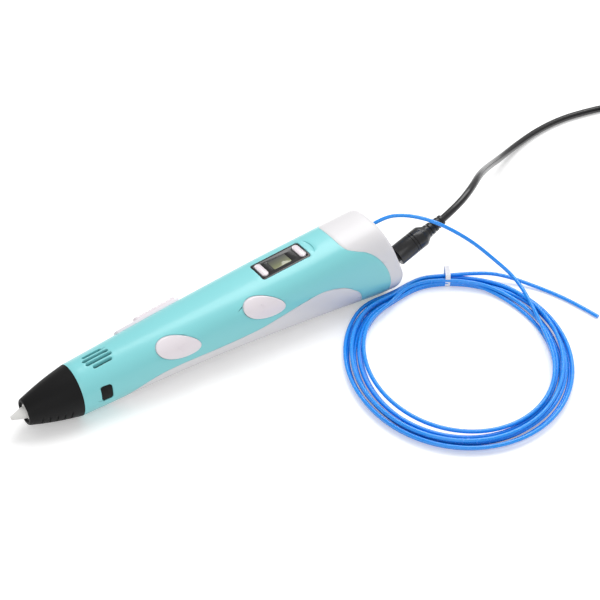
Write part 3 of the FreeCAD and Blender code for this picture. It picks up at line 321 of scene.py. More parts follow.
class Finish:
    def __init__(self, name, color, roughness, metallic=0.0, coat=0.0):
        self.material = bpy.data.materials.new(name)
        self.material.use_nodes = True
        self.material.diffuse_color = color
        self.tree = self.material.node_tree
        self.shader = self.tree.nodes["Principled BSDF"]
        self.color = color
        for socket, value in (("Base Color", color), ("Roughness", roughness),
                              ("Metallic", metallic), ("Coat Weight", coat)):
            self.shader.inputs[socket].default_value = value

    def add(self, kind, settings, inputs, output=0):
        node = self.tree.nodes.new(kind)
        for setting, value in settings.items():
            if setting == "stops":
                elements = node.color_ramp.elements
                while len(elements) < len(value):
                    elements.new(1.0)
                for element, (place, color) in zip(elements, value):
                    element.position, element.color = place, color
            else:
                setattr(node, setting, value)
        for socket, value in inputs.items():
            if isinstance(value, Wire):
                self.tree.links.new(value.socket, node.inputs[socket])
            else:
                node.inputs[socket].default_value = value
        return Wire(self, node.outputs[output])

    def place(self):
        return self.add("ShaderNodeTexCoord", {}, {}, "Object")

    def axis(self, number):
        return self.add("ShaderNodeSeparateXYZ", {}, {0: self.place()}, number)

    def noise(self, scale, detail=2.0, stretch=(1.0, 1.0, 1.0)):
        place = self.add("ShaderNodeMapping", {}, {"Vector": self.place(), "Scale": stretch})
        return self.add("ShaderNodeTexNoise", {}, {"Vector": place, "Scale": scale, "Detail": detail})

    def blend(self, share, low, high):
        return self.add("ShaderNodeMix", {"data_type": "RGBA"}, {0: share, 6: low, 7: high}, 2)

    def feed(self, socket, wire):
        self.tree.links.new(wire.socket, self.shader.inputs[socket])

    def bump(self, height, distance, strength=1.0):
        self.feed("Normal", self.add("ShaderNodeBump", {}, {
            "Strength": strength, "Distance": distance, "Height": height}))

    def vary(self, amount, scale):
        """The colour drifts a little darker and lighter, as a moulding's does."""
        dark = tuple(c * (1 - amount) for c in self.color[:3]) + (1.0,)
        light = tuple(min(c * (1 + amount), 1.0) for c in self.color[:3]) + (1.0,)
        self.feed("Base Color", self.blend(self.noise(scale), dark, light))

    def grain(self, scale, depth, base, swing):
        """A fine spark-eroded texture: it breaks up the gloss and the surface alike."""
        fine = self.noise(scale, 4.0)
        self.feed("Roughness", fine * swing + (base - swing / 2))
        self.bump(fine, depth)

# %% [markdown]
# The pen is moulded in satin plastic: soft sheen, an almost invisible eroded grain and slow
# drifts of tone. The nose cone is a heat-proof black with a coarser grain, and the display
# surround is polished.

# %% Finishes of the outside
teal = Finish("teal_satin", tone(133, 213, 217), 0.32, coat=0.14)
teal.vary(0.035, 26)
teal.grain(2600, 0.00001, 0.32, 0.10)

white = Finish("white_satin", tone(224, 222, 224), 0.38, coat=0.08)
white.vary(0.02, 30)
white.grain(2400, 0.00001, 0.38, 0.10)

button_white = Finish("button_white", tone(236, 228, 233), 0.30, coat=0.25)
button_white.vary(0.015, 60)
button_white.grain(3000, 0.000006, 0.30, 0.08)

heatproof = Finish("heatproof_black", tone(6, 6, 7), 0.55)
heatproof.shader.inputs["Specular IOR Level"].default_value = 0.22
heatproof.vary(0.20, 90)
heatproof.grain(1500, 0.00003, 0.54, 0.16)

polished_black = Finish("polished_black", tone(8, 8, 9), 0.22, coat=0.15)
polished_black.grain(900, 0.000002, 0.22, 0.05)

ceramic = Finish("fired_ceramic", tone(228, 227, 224), 0.42)
ceramic.vary(0.05, 300)
ceramic.grain(1200, 0.000015, 0.42, 0.14)

blue_line = Finish("blue_filament", tone(10, 146, 248), 0.24, coat=0.4)
blue_line.vary(0.10, 45)
blue_line.grain(900, 0.00001, 0.26, 0.12)

cable = Finish("soft_black_jacket", tone(20, 20, 22), 0.30, coat=0.25)
cable.vary(0.12, 60)
cable.grain(1300, 0.00002, 0.31, 0.10)

moulded_black = Finish("moulded_black", tone(25, 25, 27), 0.50)
moulded_black.vary(0.12, 120)
moulded_black.grain(1800, 0.00002, 0.50, 0.16)

tie_plastic = Finish("twist_tie", tone(240, 240, 246), 0.45)
tie_plastic.vary(0.03, 200)
tie_plastic.bump(tie_plastic.noise(500, 2.0), 0.00003)

lcd = Finish("display_glass", tone(86, 88, 70), 0.12, coat=0.5)
# The pane is coloured lighter olive on the side away from the slider and darker grey on the slider's side:
# a painted reflection of the light on the glass, not a colour the display has of its own.
LCD_REFLECTION_SPAN = 0.006
lcd_painted_reflection = lcd.axis(1) / LCD_REFLECTION_SPAN + 0.5
lcd.feed("Base Color", lcd.add("ShaderNodeValToRGB", {"stops": [
    (0.0, tone(137, 141, 103)), (0.55, tone(98, 101, 82)), (1.0, tone(60, 62, 60))]}, {0: lcd_painted_reflection}))
lcd.bump(lcd.noise(900), 0.000002)

# %% [markdown]
# Inside are bare metal, natural acetal, a clear guide tube and green circuit boards. Turned
# steel and brass get fine lathe marks, and the boards get copper tracks under the green mask.

# %% Finishes of the inside
steel = Finish("plain_steel", tone(178, 178, 182), 0.30, metallic=1.0)
steel.bump(steel.noise(700, 2.0, (6.0, 1.0, 1.0)), 0.00001)
steel.feed("Roughness", steel.noise(400, 3.0) * 0.16 + 0.22)

brass = Finish("turned_brass", tone(205, 168, 92), 0.28, metallic=1.0)
brass.bump(brass.noise(900, 2.0, (8.0, 1.0, 1.0)), 0.00001)
brass.feed("Roughness", brass.noise(500, 3.0) * 0.14 + 0.22)

acetal = Finish("natural_acetal", tone(226, 222, 210), 0.42)
acetal.vary(0.04, 90)
acetal.grain(1500, 0.00001, 0.42, 0.12)

clear_tube = Finish("guide_tube", tone(226, 228, 230), 0.25, coat=0.2)
clear_tube.vary(0.03, 120)
clear_tube.bump(clear_tube.noise(800), 0.000005)

board = Finish("green_board", tone(28, 108, 58), 0.32, coat=0.3)
track_run = ((board.axis(0) * 4200).sine() + (board.axis(1) * 3300).sine()).above(0.9)
board.feed("Base Color", board.blend(track_run, tone(24, 98, 52), tone(58, 138, 76)))
board.bump(track_run, 0.00003, 0.4)

component = Finish("component_black", tone(28, 28, 30), 0.45)
component.vary(0.15, 200)
component.grain(2200, 0.00001, 0.46, 0.14)

can = Finish("plain_can", tone(196, 198, 202), 0.26, metallic=1.0)
can.bump(can.noise(800, 2.0, (1.0, 1.0, 7.0)), 0.00001)
can.feed("Roughness", can.noise(450, 3.0) * 0.14 + 0.20)

CAD_FINISHES = {
    teal: ["upper_shell"], white: ["belly_shell", "tail_cap"],
    button_white: ["feed_button", "retract_button", "temp_up_button", "temp_down_button",
                   "speed_track", "speed_knob"],
    heatproof: ["nose_cone"], polished_black: ["display_bezel"], lcd: ["display_window"],
    ceramic: ["ceramic_nozzle", "ceramic_heater", "heat_insulator"],
    steel: ["melt_tube", "case_screws", "feed_axle", "motor_shaft", "roller_pin", "lever_pivot",
            "lever_spring", "motor_gearbox", "idler_roller"],
    can: ["motor_can", "capacitor", "lcd_module"],
    brass: ["feed_wheel", "inlet_ferrule", "thermistor"],
    acetal: ["bevel_gear", "drive_pinion", "idler_lever", "feeder_housing", "fan_frame", "fan_rotor"],
    clear_tube: ["front_guide", "rear_guide_tube"],
    board: ["feed_switch_board", "retract_switch_board", "display_board", "main_board"],
    component: ["board_chips", "feed_switch", "retract_switch", "temp_up_switch",
                "temp_down_switch", "power_jack", "slide_potentiometer"],
    blue_line: ["loaded_filament", "filament_lead", "filament_coil", "filament_free_end"],
    cable: ["power_lead", "power_lead_coil"],
    moulded_black: ["dc_plug", "plug_strain_relief", "usb_plug"], tie_plastic: ["lead_tie"],
}


def dress(piece, finish):
    piece.data.materials.clear()
    piece.data.materials.append(finish.material)


for finish, nodes in CAD_FINISHES.items():
    for node in nodes:
        dress(bpy.data.objects[node], finish)
dress(power_lead, cable)
dress(filament, blue_line)
print("finishes on", sum(len(nodes) for nodes in CAD_FINISHES.values()), "nodes")

# %% [markdown]
# Everything below is modelled in pen millimetres and settled at the end: the mesh is scaled to
# metres and moved to its place, so that the object itself stays at the origin, unturned.

# %% Modelling helpers
PEN = Matrix.Translation(Vector((-PEN_LENGTH / 2 * MM, 0, 0))) @ Matrix.Scale(MM, 4)


def fresh(name):
    """The primitive that was just added, with its place in its mesh."""
    piece = bpy.context.object
    piece.name = name
    bpy.ops.object.transform_apply(location=True, rotation=True, scale=True)
    return piece


def modify(piece, kind, **settings):
    make_active(piece)
    modifier = piece.modifiers.new(kind.lower(), kind)
    for setting, value in settings.items():
        setattr(modifier, setting, value)
    bpy.ops.object.modifier_apply(modifier=modifier.name)


def combine(piece, operation, tool, keep_tool=False):
    modify(piece, "BOOLEAN", operation=operation, object=tool, solver="EXACT")
    if not keep_tool:
        bpy.data.objects.remove(tool)


def duplicate(piece, name):
    copy = piece.copy()
    copy.data = piece.data.copy()
    copy.name = name
    bpy.context.collection.objects.link(copy)
    return copy


def move_mesh(piece, matrix):
    piece.data.transform(matrix)
    piece.data.update()


def soften(piece, width, segments=2, angle=35):
    """Small rounds on the sharp edges, as a mould leaves them."""
    modify(piece, "WELD", merge_threshold=0.004)
    modify(piece, "BEVEL", width=width, segments=segments, limit_method="ANGLE",
           angle_limit=math.radians(angle), use_clamp_overlap=False, miter_outer="MITER_ARC")


def settle(piece, finish, body, node=(), smooth=40, place=Matrix()):
    """Into metres, smoothed, dressed, and onto its body."""
    move_mesh(piece, PEN @ place)
    make_active(piece)
    bpy.ops.object.shade_smooth_by_angle(angle=math.radians(smooth))
    deselect()
    dress(piece, finish)
    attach(piece, body)
    if node:
        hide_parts(*node)
    print(piece.name, len(piece.data.polygons), "faces")
    return piece


def plate(name, length, width, corner, low, high, centre=(0, 0), segments=6):
    """A flat bar with round corners, its length along x."""
    bpy.ops.mesh.primitive_cube_add(size=1, location=(*centre, (low + high) / 2),
                                    scale=(length, width, high - low))
    piece = fresh(name)
    bpy.ops.object.mode_set(mode="EDIT")
    bpy.ops.mesh.select_all(action="DESELECT")
    bpy.ops.mesh.select_mode(type="EDGE")
    mesh = bmesh.from_edit_mesh(piece.data)
    for edge in mesh.edges:
        a, b = (v.co for v in edge.verts)
        edge.select_set(abs(a.z - b.z) > 1e-4)
    bmesh.update_edit_mesh(piece.data)
    bpy.ops.mesh.bevel(offset=corner, segments=segments, affect="EDGES")
    bpy.ops.object.mode_set(mode="OBJECT")
    deselect()
    return piece


def prism(name, outline, low, high):
    """A flat outline in side view, carried straight across the pen."""
    mesh = bmesh.new()
    face = mesh.faces.new([mesh.verts.new((x, low, z)) for x, z in outline])
    grown = bmesh.ops.extrude_face_region(mesh, geom=[face])["geom"]
    corners = [part for part in grown if isinstance(part, bmesh.types.BMVert)]
    bmesh.ops.translate(mesh, vec=(0, high - low, 0), verts=corners)
    bmesh.ops.recalc_face_normals(mesh, faces=mesh.faces)
    data = bpy.data.meshes.new(name)
    mesh.to_mesh(data)
    mesh.free()
    piece = bpy.data.objects.new(name, data)
    bpy.context.collection.objects.link(piece)
    return piece


def rod(name, radius, low, high, place=Matrix(), segments=48):
    bpy.ops.mesh.primitive_cylinder_add(radius=radius, depth=high - low, vertices=segments,
                                        location=(0, 0, (low + high) / 2))
    piece = fresh(name)
    move_mesh(piece, place)
    deselect()
    return piece


def turned(name, profile, segments=72):
    """A profile of (x, radius) pairs, spun about x as on a lathe."""
    mesh = bmesh.new()
    chain = [mesh.verts.new((x, 0, r)) for x, r in profile]
    for a, b in zip(chain, chain[1:]):
        mesh.edges.new((a, b))
    data = bpy.data.meshes.new(name)
    mesh.to_mesh(data)
    mesh.free()
    piece = bpy.data.objects.new(name, data)
    bpy.context.collection.objects.link(piece)
    make_active(piece)
    bpy.ops.object.mode_set(mode="EDIT")
    bpy.ops.mesh.select_all(action="SELECT")
    bpy.ops.mesh.spin(steps=segments, angle=2 * math.pi, center=(0, 0, 0), axis=(1, 0, 0))
    bpy.ops.mesh.select_all(action="SELECT")
    bpy.ops.mesh.remove_doubles(threshold=0.001)
    bpy.ops.mesh.normals_make_consistent(inside=False)
    bpy.ops.object.mode_set(mode="OBJECT")
    deselect()
    return piece

# %% [markdown]
# The pen's form is a round nose that grows into a squarish tail. The mesh is a grid rolled into
# a tube: upright rings along the grip, then rings that lean more and more until they lie in the
# slanted rear face, then small ones round its rim and across it. Vertices are placed by the
# same outline as the mechanism's, because a sculpted shape wouldn't meet it.

# %% The pen's form
RIM = 2.2
WALL = 1.8
AROUND = 112


def outline_point(station, angle, inset):
    kind, value = station
    s, c = math.sin(angle), math.cos(angle)
    z = TAIL_HEIGHT / 2
    rim = RIM
    for attempt in range(6):
        extra = value if kind == "rear" else rim * (1 - math.cos(value)) if kind == "rim" else 0
        shift = {"rear": 0, "rim": rim * (1 - math.sin(value)) if kind == "rim" else 0}.get(kind, rim)
        x = value if kind == "upright" else tail_line(z, inset + shift)
        if kind == "leaning":
            x = 150 + (x - 150) * value
        n = squareness(x)
        wide = half_width(min(x, PEN_LENGTH)) - inset - extra
        tall = (top_line(x) - belly_line(x)) / 2 - inset - extra
        reach = ((abs(s) / wide) ** n + (abs(c) / tall) ** n) ** (-1 / n)
        z = (top_line(x) + belly_line(x)) / 2 + reach * c
        rim = RIM * min(max((z - 0.5) / 9, 0.02), 1)
    return (x, reach * s, max(z, inset))


def pen_form(name, inset, front):
    stations = [("upright", front + (150 - front) * i / 48) for i in range(49)]
    stations += [("leaning", (i + 1) / 9) for i in range(9)]
    stations += [("rim", math.radians(a)) for a in (18, 36, 54, 72, 90)]
    stations += [("rear", e) for e in (2.7, 3.6, 5.0, 7.0, 9.5, 12.0, 13.6 - inset)]
    bpy.ops.mesh.primitive_grid_add(x_subdivisions=len(stations) - 1, y_subdivisions=AROUND, size=1)
    piece = fresh(name)
    for vertex in piece.data.vertices:
        ring = round((vertex.co.x + 0.5) * (len(stations) - 1))
        step = round((vertex.co.y + 0.5) * AROUND) % AROUND
        vertex.co = outline_point(stations[ring], 2 * math.pi * step / AROUND, inset)
    make_active(piece)
    bpy.ops.object.mode_set(mode="EDIT")
    bpy.ops.mesh.select_all(action="SELECT")
    bpy.ops.mesh.remove_doubles(threshold=0.002)
    bpy.ops.mesh.select_all(action="DESELECT")
    bpy.ops.mesh.select_mode(type="EDGE")
    bpy.ops.mesh.select_non_manifold()
    bpy.ops.mesh.edge_face_add()
    bpy.ops.mesh.select_all(action="SELECT")
    bpy.ops.mesh.normals_make_consistent(inside=False)
    bpy.ops.object.mode_set(mode="OBJECT")
    deselect()
    return piece


outer_form = pen_form("outer_form", 0.0, NOSE_X)
inner_form = pen_form("inner_form", WALL, NOSE_X - 1)
print("form", len(outer_form.data.polygons), "faces")

# %% [markdown]
# Places on the skin. The skin frame stands on the pen's side at x, turned so many degrees round
# from the top towards +y: its own x runs back along the surface and its z points outwards.

# %% Skin frames
def skin_point(x, degrees):
    s, c = math.sin(math.radians(degrees)), math.cos(math.radians(degrees))
    w, n = half_width(x), squareness(x)
    h, middle = (top_line(x) - belly_line(x)) / 2, (top_line(x) + belly_line(x)) / 2
    reach = ((abs(s) / w) ** n + (abs(c) / h) ** n) ** (-1 / n)
    y, z = reach * s, reach * c
    normal = Vector((0, math.copysign(abs(y / w) ** (n - 1) / w, y),
                     math.copysign(abs(z / h) ** (n - 1) / h, z))).normalized()
    return Vector((x, y, middle + z)), normal


def skin_frame(x, degrees):
    point, normal = skin_point(x, degrees)
    along = (skin_point(x + 5, degrees)[0] - skin_point(x - 5, degrees)[0]).normalized()
    across = normal.cross(along).normalized()
    out = along.cross(across)
    turn = Matrix((along, across, out)).transposed().to_4x4()
    return Matrix.Translation(point) @ turn


DISPLAY = skin_frame(127.6, 0)
SLIDER = skin_frame(68.3, 56)
OVAL_TWIST = Matrix.Rotation(math.radians(-20), 4, "Z")
OVALS = [skin_frame(x, -63) @ OVAL_TWIST for x in (70.4, 110.9)]

# %% [markdown]
# The body is split into a teal upper shell, a white belly that sweeps up the sides, and a white
# tail cap. The joint lines are smooth curves in side view. Each region is a prism, and a
# boolean with the form cuts it out. The inner form then hollows it to an even wall.

# %% Joint lines
BELLY_JOINT = [(37.0, -1.0), (46.0, 5.6), (58.0, 10.8), (70.0, 12.7), (88.0, 13.4), (106.6, 14.8),
               (118.2, 17.2), (130.4, 19.9), (139.7, 21.2), (149.2, 19.4), (155.9, 15.4),
               (160.3, 10.4), (163.5, -1.0)]
CAP_JOINT = [(152.6, 42.0), (152.5, 37.2), (154.4, 34.8), (158.5, 33.2), (163.3, 31.4),
             (167.8, 27.8), (172.2, 21.8), (175.1, 15.4), (176.6, 8.0), (176.8, -1.0)]


def smooth_line(points, steps=8):
    """A curve through all the points, each stretch eased by its neighbours."""
    line = []
    padded = [points[0]] + points + [points[-1]]
    for before, a, b, after in zip(padded, padded[1:], padded[2:], padded[3:]):
        for step in range(steps):
            t = step / steps
            line.append(tuple(
                0.5 * (2 * a[i] + (b[i] - before[i]) * t
                       + (2 * before[i] - 5 * a[i] + 4 * b[i] - after[i]) * t ** 2
                       + (3 * a[i] - before[i] - 3 * b[i] + after[i]) * t ** 3) for i in range(2)))
    return line + [points[-1]]


belly_region = prism("belly_region", smooth_line(BELLY_JOINT), -40, 40)
cap_region = prism("cap_region", smooth_line(CAP_JOINT) + [(210, -1), (210, 42)], -40, 40)

# %% Shells
upper = duplicate(outer_form, "upper_shell_skin")
combine(upper, "DIFFERENCE", belly_region, keep_tool=True)
combine(upper, "DIFFERENCE", cap_region, keep_tool=True)
combine(upper, "DIFFERENCE", inner_form, keep_tool=True)
belly = duplicate(outer_form, "belly_skin")
combine(belly, "INTERSECT", belly_region)
combine(belly, "DIFFERENCE", inner_form, keep_tool=True)
tail_cap = duplicate(outer_form, "tail_cap_skin")
combine(tail_cap, "INTERSECT", cap_region)
combine(tail_cap, "DIFFERENCE", inner_form)
print("shells", len(upper.data.polygons), len(belly.data.polygons), len(tail_cap.data.polygons))

# %% [markdown]
# The upper shell's openings: a pocket for the display, two egg-shaped holes for the buttons, a
# pocket for the slider, four vent slots over the fan, a snap window each side and a
# shallow thumbnail recess behind the display.

# %% Openings of the upper shell
FIT = 0.15
OVAL_LENGTH, OVAL_WIDTH = 20.0, 9.9
TIP_Z = (NOSE_DIA / 2 - BELLY_FLAT) - NOSE_X * math.tan(math.radians(3))


def egg_outline(grow, steps=40):
    a, b = OVAL_LENGTH / 2 + grow, OVAL_WIDTH / 2 + grow
    turns = [2 * math.pi * i / steps for i in range(steps)]
    return [(a * math.cos(t), b * math.sin(t) * (1 - 0.16 * math.cos(t))) for t in turns]


def egg(name, place, grow):
    """An egg-shaped bar through the skin, its blunt end towards the nose."""
    bar = prism(name, egg_outline(grow), -8, 4)
    move_mesh(bar, place @ Matrix.Rotation(math.radians(90), 4, "X"))
    return bar


def placed(piece, place):
    move_mesh(piece, place)
    return piece


combine(upper, "DIFFERENCE", placed(plate("pocket", 24.4, 11.3, 1.2, -1.6, 5), DISPLAY))
combine(upper, "DIFFERENCE", placed(plate("opening", 23.3, 10.2, 0.8, -4, 5), DISPLAY))
combine(upper, "DIFFERENCE", placed(plate("track_pocket", 31.5, 5.3, 1.5, -0.9, 5), SLIDER))
for oval in OVALS:
    combine(upper, "DIFFERENCE", egg("egg_cutter", oval, 0.0))
for number, length in enumerate((8.6, 11.6, 11.6, 8.6)):
    vent = plate("vent", length, 1.45, 0.7, TIP_Z + 4, 50,
                 (38.8 - 0.45 * (number - 1.5), -0.95 + (number - 1.5) * 2.3))
    combine(upper, "DIFFERENCE", vent)
for side in (-1, 1):
    window = plate("window", 5.0, 7.0, 1.3, 4, 20, (37.1, 0))
    move_mesh(window, Matrix.Translation((0, 0, 12.7)) @ Matrix.Rotation(math.radians(90 * side), 4, "X"))
    combine(upper, "DIFFERENCE", window)
tilt = math.atan2(0.6, 2.4)
groove = rod("thumb_recess", 9.0, 0, 6, Matrix.Translation((-9, 0, 0)), 96)
move_mesh(groove, skin_frame(143.2, 0) @ Matrix.Translation((0, 0, -0.6)) @ Matrix.Rotation(tilt, 4, "Y"))
combine(upper, "DIFFERENCE", groove)
print("upper shell cut to", len(upper.data.polygons), "faces")

# %% [markdown]
# The tail cap has a round opening for the power plug, square to the slanted rear face, and a
# small one for the filament. Four screw wells open in the belly.

# %% Openings of the tail and belly
JACK_FACE = (tail_line(15.7, 0), -7.0, 15.7)
JACK = Matrix.Translation(JACK_FACE) @ Matrix.Rotation(-REAR_LEAN, 4, "Y")
INLET = Vector((180.6, 6.0, 28.0))
INLET_OUT = (INLET - Vector((158.0, 4.2, 22.4))).normalized()
INLET_PLACE = Matrix.Translation(INLET) @ INLET_OUT.to_track_quat("X", "Z").to_matrix().to_4x4()
ONTO_X = Matrix.Rotation(math.radians(90), 4, "Y")

combine(tail_cap, "DIFFERENCE", rod("jack_hole", 4.55, -20, 5, JACK @ ONTO_X, 72))
combine(tail_cap, "DIFFERENCE", rod("inlet_hole", 2.35, -20, 5, INLET_PLACE @ ONTO_X, 48))
for x, y in ((92.0, 7.5), (152.0, 10.2)):
    for side in (-1, 1):
        combine(belly, "DIFFERENCE", rod("screw_well", 2.05, -2, 9, Matrix.Translation((x, side * y, 0))))

# %% Shells on the pen
for shell in (upper, belly, tail_cap):
    soften(shell, 0.22)
settle(upper, teal, BODY, ["upper_shell"])
settle(belly, white, BODY, ["belly_shell"])
settle(tail_cap, white, BODY, ["tail_cap"])
bpy.data.objects.remove(outer_form)

# %% [markdown]
# The nose cone is a turned shell, sheared up along the tilted feed axis and flattened where it
# would reach below the table. A skirt slides into the body, with a tab in each snap window, and
# five short grip notches run along its lower side. The ceramic nozzle stands out of its mouth.

# %% Nose cone and nozzle
FEED = Matrix.Translation((0, 0, TIP_Z)) @ Matrix.Rotation(math.radians(-3), 4, "Y")
CONE_FROM, CONE_DIA, CONE_BULGE, CONE_WALL = 5.6, 10.9, 0.45, 2.2


def cone_radius(x):
    f = (x - CONE_FROM) / (NOSE_X - CONE_FROM)
    return CONE_DIA / 2 + (NOSE_DIA - CONE_DIA) / 2 * f + CONE_BULGE * math.sin(math.pi * f)


def cone_centre(x):
    return TIP_Z + x * math.tan(math.radians(3))


lengthwise = [CONE_FROM + 0.5 + (NOSE_X - CONE_FROM - 0.5) * i / 14 for i in range(15)]
outside = [(x, cone_radius(x)) for x in lengthwise]
inside = [(x, cone_radius(x) - CONE_WALL) for x in reversed(lengthwise) if x > 8.2]
mouth = [(7.6, 3.45), (6.4, 3.45), (6.4, 4.2), (6.15, 4.4), (5.85, 4.45), (5.65, 4.62), (5.6, 4.9),
         (5.66, 5.18), (5.85, 5.42)]
nose = turned("nose_cone_shell", outside + inside + mouth + outside[:1], 96)
for vertex in nose.data.vertices:
    vertex.co.z = max(vertex.co.z + cone_centre(vertex.co.x), 0)
NOTCHES, NOTCH_FROM, NOTCH_PITCH, NOTCH_DEPTH = 5, 10.2, 2.9, 0.35
NOTCH_TURN = Matrix.Rotation(math.radians(112), 4, "X")
for number in range(NOTCHES):
    x = NOTCH_FROM + NOTCH_PITCH * number
    notch = plate("notch", 0.9, 4.6, 0.4, cone_radius(x) - NOTCH_DEPTH, 14)
    move_mesh(notch, Matrix.Translation((x, 0, cone_centre(x))) @ NOTCH_TURN)
    combine(nose, "DIFFERENCE", notch)
settle(nose, heatproof, BODY, ["nose_cone"], 32)

sunk_form = pen_form("sunk_form", 0.25, NOSE_X)
for side, name in ((-1, "snap_tab_near"), (1, "snap_tab_far")):
    tab = plate(name, 4.7, 6.7, 1.2, 7.6, 20, (37.1, 0))
    move_mesh(tab, Matrix.Translation((0, 0, 12.7)) @ Matrix.Rotation(math.radians(-90 * side), 4, "X"))
    combine(tab, "INTERSECT", sunk_form, keep_tool=True)
    soften(tab, 0.12)
    settle(tab, heatproof, BODY)
bpy.data.objects.remove(sunk_form)
skirt = turned("nose_skirt", [(24.6, 8.0), (24.6, 9.0), (42.0, 9.3), (42.0, 8.1), (24.6, 8.0)])
move_mesh(skirt, Matrix.Translation((0, 0, cone_centre(30))))
settle(skirt, heatproof, BODY)

nozzle = turned("nozzle_ceramic", [(0, 0.35), (0, 0.82), (0.08, 0.9), (5.3, 2.46), (5.45, 2.5), (6.4, 2.5),
                                   (6.4, 3.2), (6.5, 3.3), (9, 3.3), (9, 2.4), (16, 2.4), (16, 1.05),
                                   (4.6, 1.05), (2.6, 0.35), (0, 0.35)])
settle(nozzle, ceramic, BODY, ["ceramic_nozzle"], 30, FEED)

# %% [markdown]
# The two oval buttons follow the skin, a little proud of it, with a rounded rim and a flange that
# keeps them in. A small raised chevron on each tells which way the filament goes.

# %% Oval buttons
proud_form = pen_form("proud_form", -0.6, NOSE_X)
lined_form = pen_form("lined_form", WALL + FIT, NOSE_X)
under_form = pen_form("under_form", WALL + FIT + 0.8, NOSE_X)
for number, (body, turn) in enumerate((("feed_button", 0), ("retract_button", 180))):
    button = egg(body + "_cap", OVALS[number], -FIT)
    combine(button, "INTERSECT", proud_form, keep_tool=True)
    combine(button, "DIFFERENCE", under_form, keep_tool=True)
    soften(button, 0.38, 3)
    flange = egg("flange", OVALS[number], 0.9)
    combine(flange, "INTERSECT", lined_form, keep_tool=True)
    combine(flange, "DIFFERENCE", under_form, keep_tool=True)
    combine(button, "UNION", flange)
    settle(button, button_white, body, [body], 38)
    chevron = plate(body + "_chevron", 3.4, 0.55, 0.2, 0.3, 0.72, (1.1, 0))
    arm = plate("arm", 3.4, 0.55, 0.2, 0.3, 0.72, (1.1, 0))
    lean = Matrix.Rotation(math.radians(38), 4, "Z")
    move_mesh(chevron, lean)
    move_mesh(arm, lean.inverted())
    combine(chevron, "UNION", arm)
    move_mesh(chevron, OVALS[number] @ Matrix.Rotation(math.radians(turn), 4, "Z"))
    settle(chevron, button_white, body)
for form in (proud_form, lined_form, under_form):
    bpy.data.objects.remove(form)

# %% [markdown]
# The display: a polished surround with a sunk window, and a long temperature key on each side
# of it. Each key has a fine line round its face.

# %% Display
bezel = plate("display_surround", 24.3, 11.2, 1.2, -1.6, -0.3)
for x in (-9.6, 9.6):
    combine(bezel, "DIFFERENCE", plate("key_hole", 2.9 + 2 * FIT, 8.4 + 2 * FIT, 1.56, -3, 2, (x, 0)))
combine(bezel, "DIFFERENCE", plate("window_hole", 8.9, 6.1, 0.45, -1.12, 2, (-0.5, 0)))
soften(bezel, 0.14)
settle(bezel, polished_black, BODY, ["display_bezel"], place=DISPLAY)
window = plate("display_pane", 8.8, 6.0, 0.4, -1.1, -0.38, (-0.5, 0))
soften(window, 0.06)
settle(window, lcd, BODY, ["display_window"], place=DISPLAY)
for body, x in (("temp_down_button", -9.6), ("temp_up_button", 9.6)):
    key = plate(body + "_key", 2.9, 8.4, 1.42, -1.7, 0.2, (x, 0), 10)
    line = plate("line", 2.0, 7.5, 0.97, 0.12, 0.5, (x, 0), 10)
    combine(line, "DIFFERENCE", plate("island", 1.7, 7.2, 0.83, -1, 2, (x, 0), 10))
    combine(key, "DIFFERENCE", line)
    soften(key, 0.1, 2, 50)
    settle(key, button_white, body, [body], place=DISPLAY)

# %% [markdown]
# The speed slider is a ribbed knob on a long rounded track. A dark dot on the plain front end of
# the track marks the fast setting.

# %% Speed slider
TRACK_LENGTH, KNOB_LENGTH, RIBS = 31.4, 20.0, 11
KNOB_MIDDLE = TRACK_LENGTH / 2 - 1.2 - KNOB_LENGTH / 2
track = plate("slider_track", TRACK_LENGTH, 5.2, 1.5, -0.9, 0.9)
soften(track, 0.22, 3)
combine(track, "DIFFERENCE", plate("neck_slot", 12.3, 1.9, 0.05, -3, 3, (KNOB_MIDDLE - 4.0, 0)))
combine(track, "DIFFERENCE", rod("dot_well", 0.55, 0.75, 3, Matrix.Translation((-12.6, 0, 0)), 24))
settle(track, button_white, BODY, ["speed_track"], place=SLIDER)
dot = rod("speed_mark", 0.5, 0.5, 0.8, Matrix.Translation((-12.6, 0, 0)), 24)
settle(dot, moulded_black, BODY, place=SLIDER)
knob = plate("slider_knob", KNOB_LENGTH, 3.8, 1.2, 0.95, 2.15, (KNOB_MIDDLE, 0))
for number in range(RIBS):
    x = KNOB_MIDDLE - (KNOB_LENGTH - 5) / 2 + number * (KNOB_LENGTH - 5) / (RIBS - 1)
    combine(knob, "DIFFERENCE", plate("rib_gap", 0.6, 6, 0.05, 1.8, 3, (x, 0)))
soften(knob, 0.09)
neck = plate("neck", 4.0, 1.6, 0.1, -3.0, 1.15, (KNOB_MIDDLE, 0))
combine(knob, "UNION", neck)
settle(knob, button_white, "speed_knob", ["speed_knob"], place=SLIDER)

# %% [markdown]
# At the tail a barrel plug stands in the jack, with a ringed strain relief behind it. The far
# end of the lead has a common flat plug. A twist tie holds the filament coil together.

# %% Plugs, ferrule and ties
plug = turned("barrel_plug", [(2.0, 0), (2.0, 1.05), (-9.5, 1.05), (-9.5, 2.6), (-9.3, 2.75), (2.6, 2.75),
                              (2.6, 4.45), (2.72, 4.7), (3.0, 4.85), (11.35, 4.85), (11.45, 4.5),
                              (11.95, 4.5), (12.05, 4.85), (12.75, 4.85), (12.85, 4.5), (13.35, 4.5),
                              (13.45, 4.85), (17.3, 4.85), (17.9, 4.6), (20.2, 3.2), (20.2, 0)])
settle(plug, cable, BODY, ["dc_plug"], 30, JACK)
sleeve = [(20.2, 0), (20.2, 3.2)]
for number in range(4):
    x = 21.4 + number * 2.1
    radius = 3.2 - 0.75 * (x - 20.2) / 9.6
    sleeve += [(x, radius), (x + 0.1, 2.3), (x + 0.8, 2.3), (x + 0.9, radius - 0.07)]
relief = turned("strain_relief", sleeve + [(29.6, 2.47), (29.8, 2.3), (29.8, 0)])
settle(relief, cable, BODY, ["plug_strain_relief"], 30, JACK)
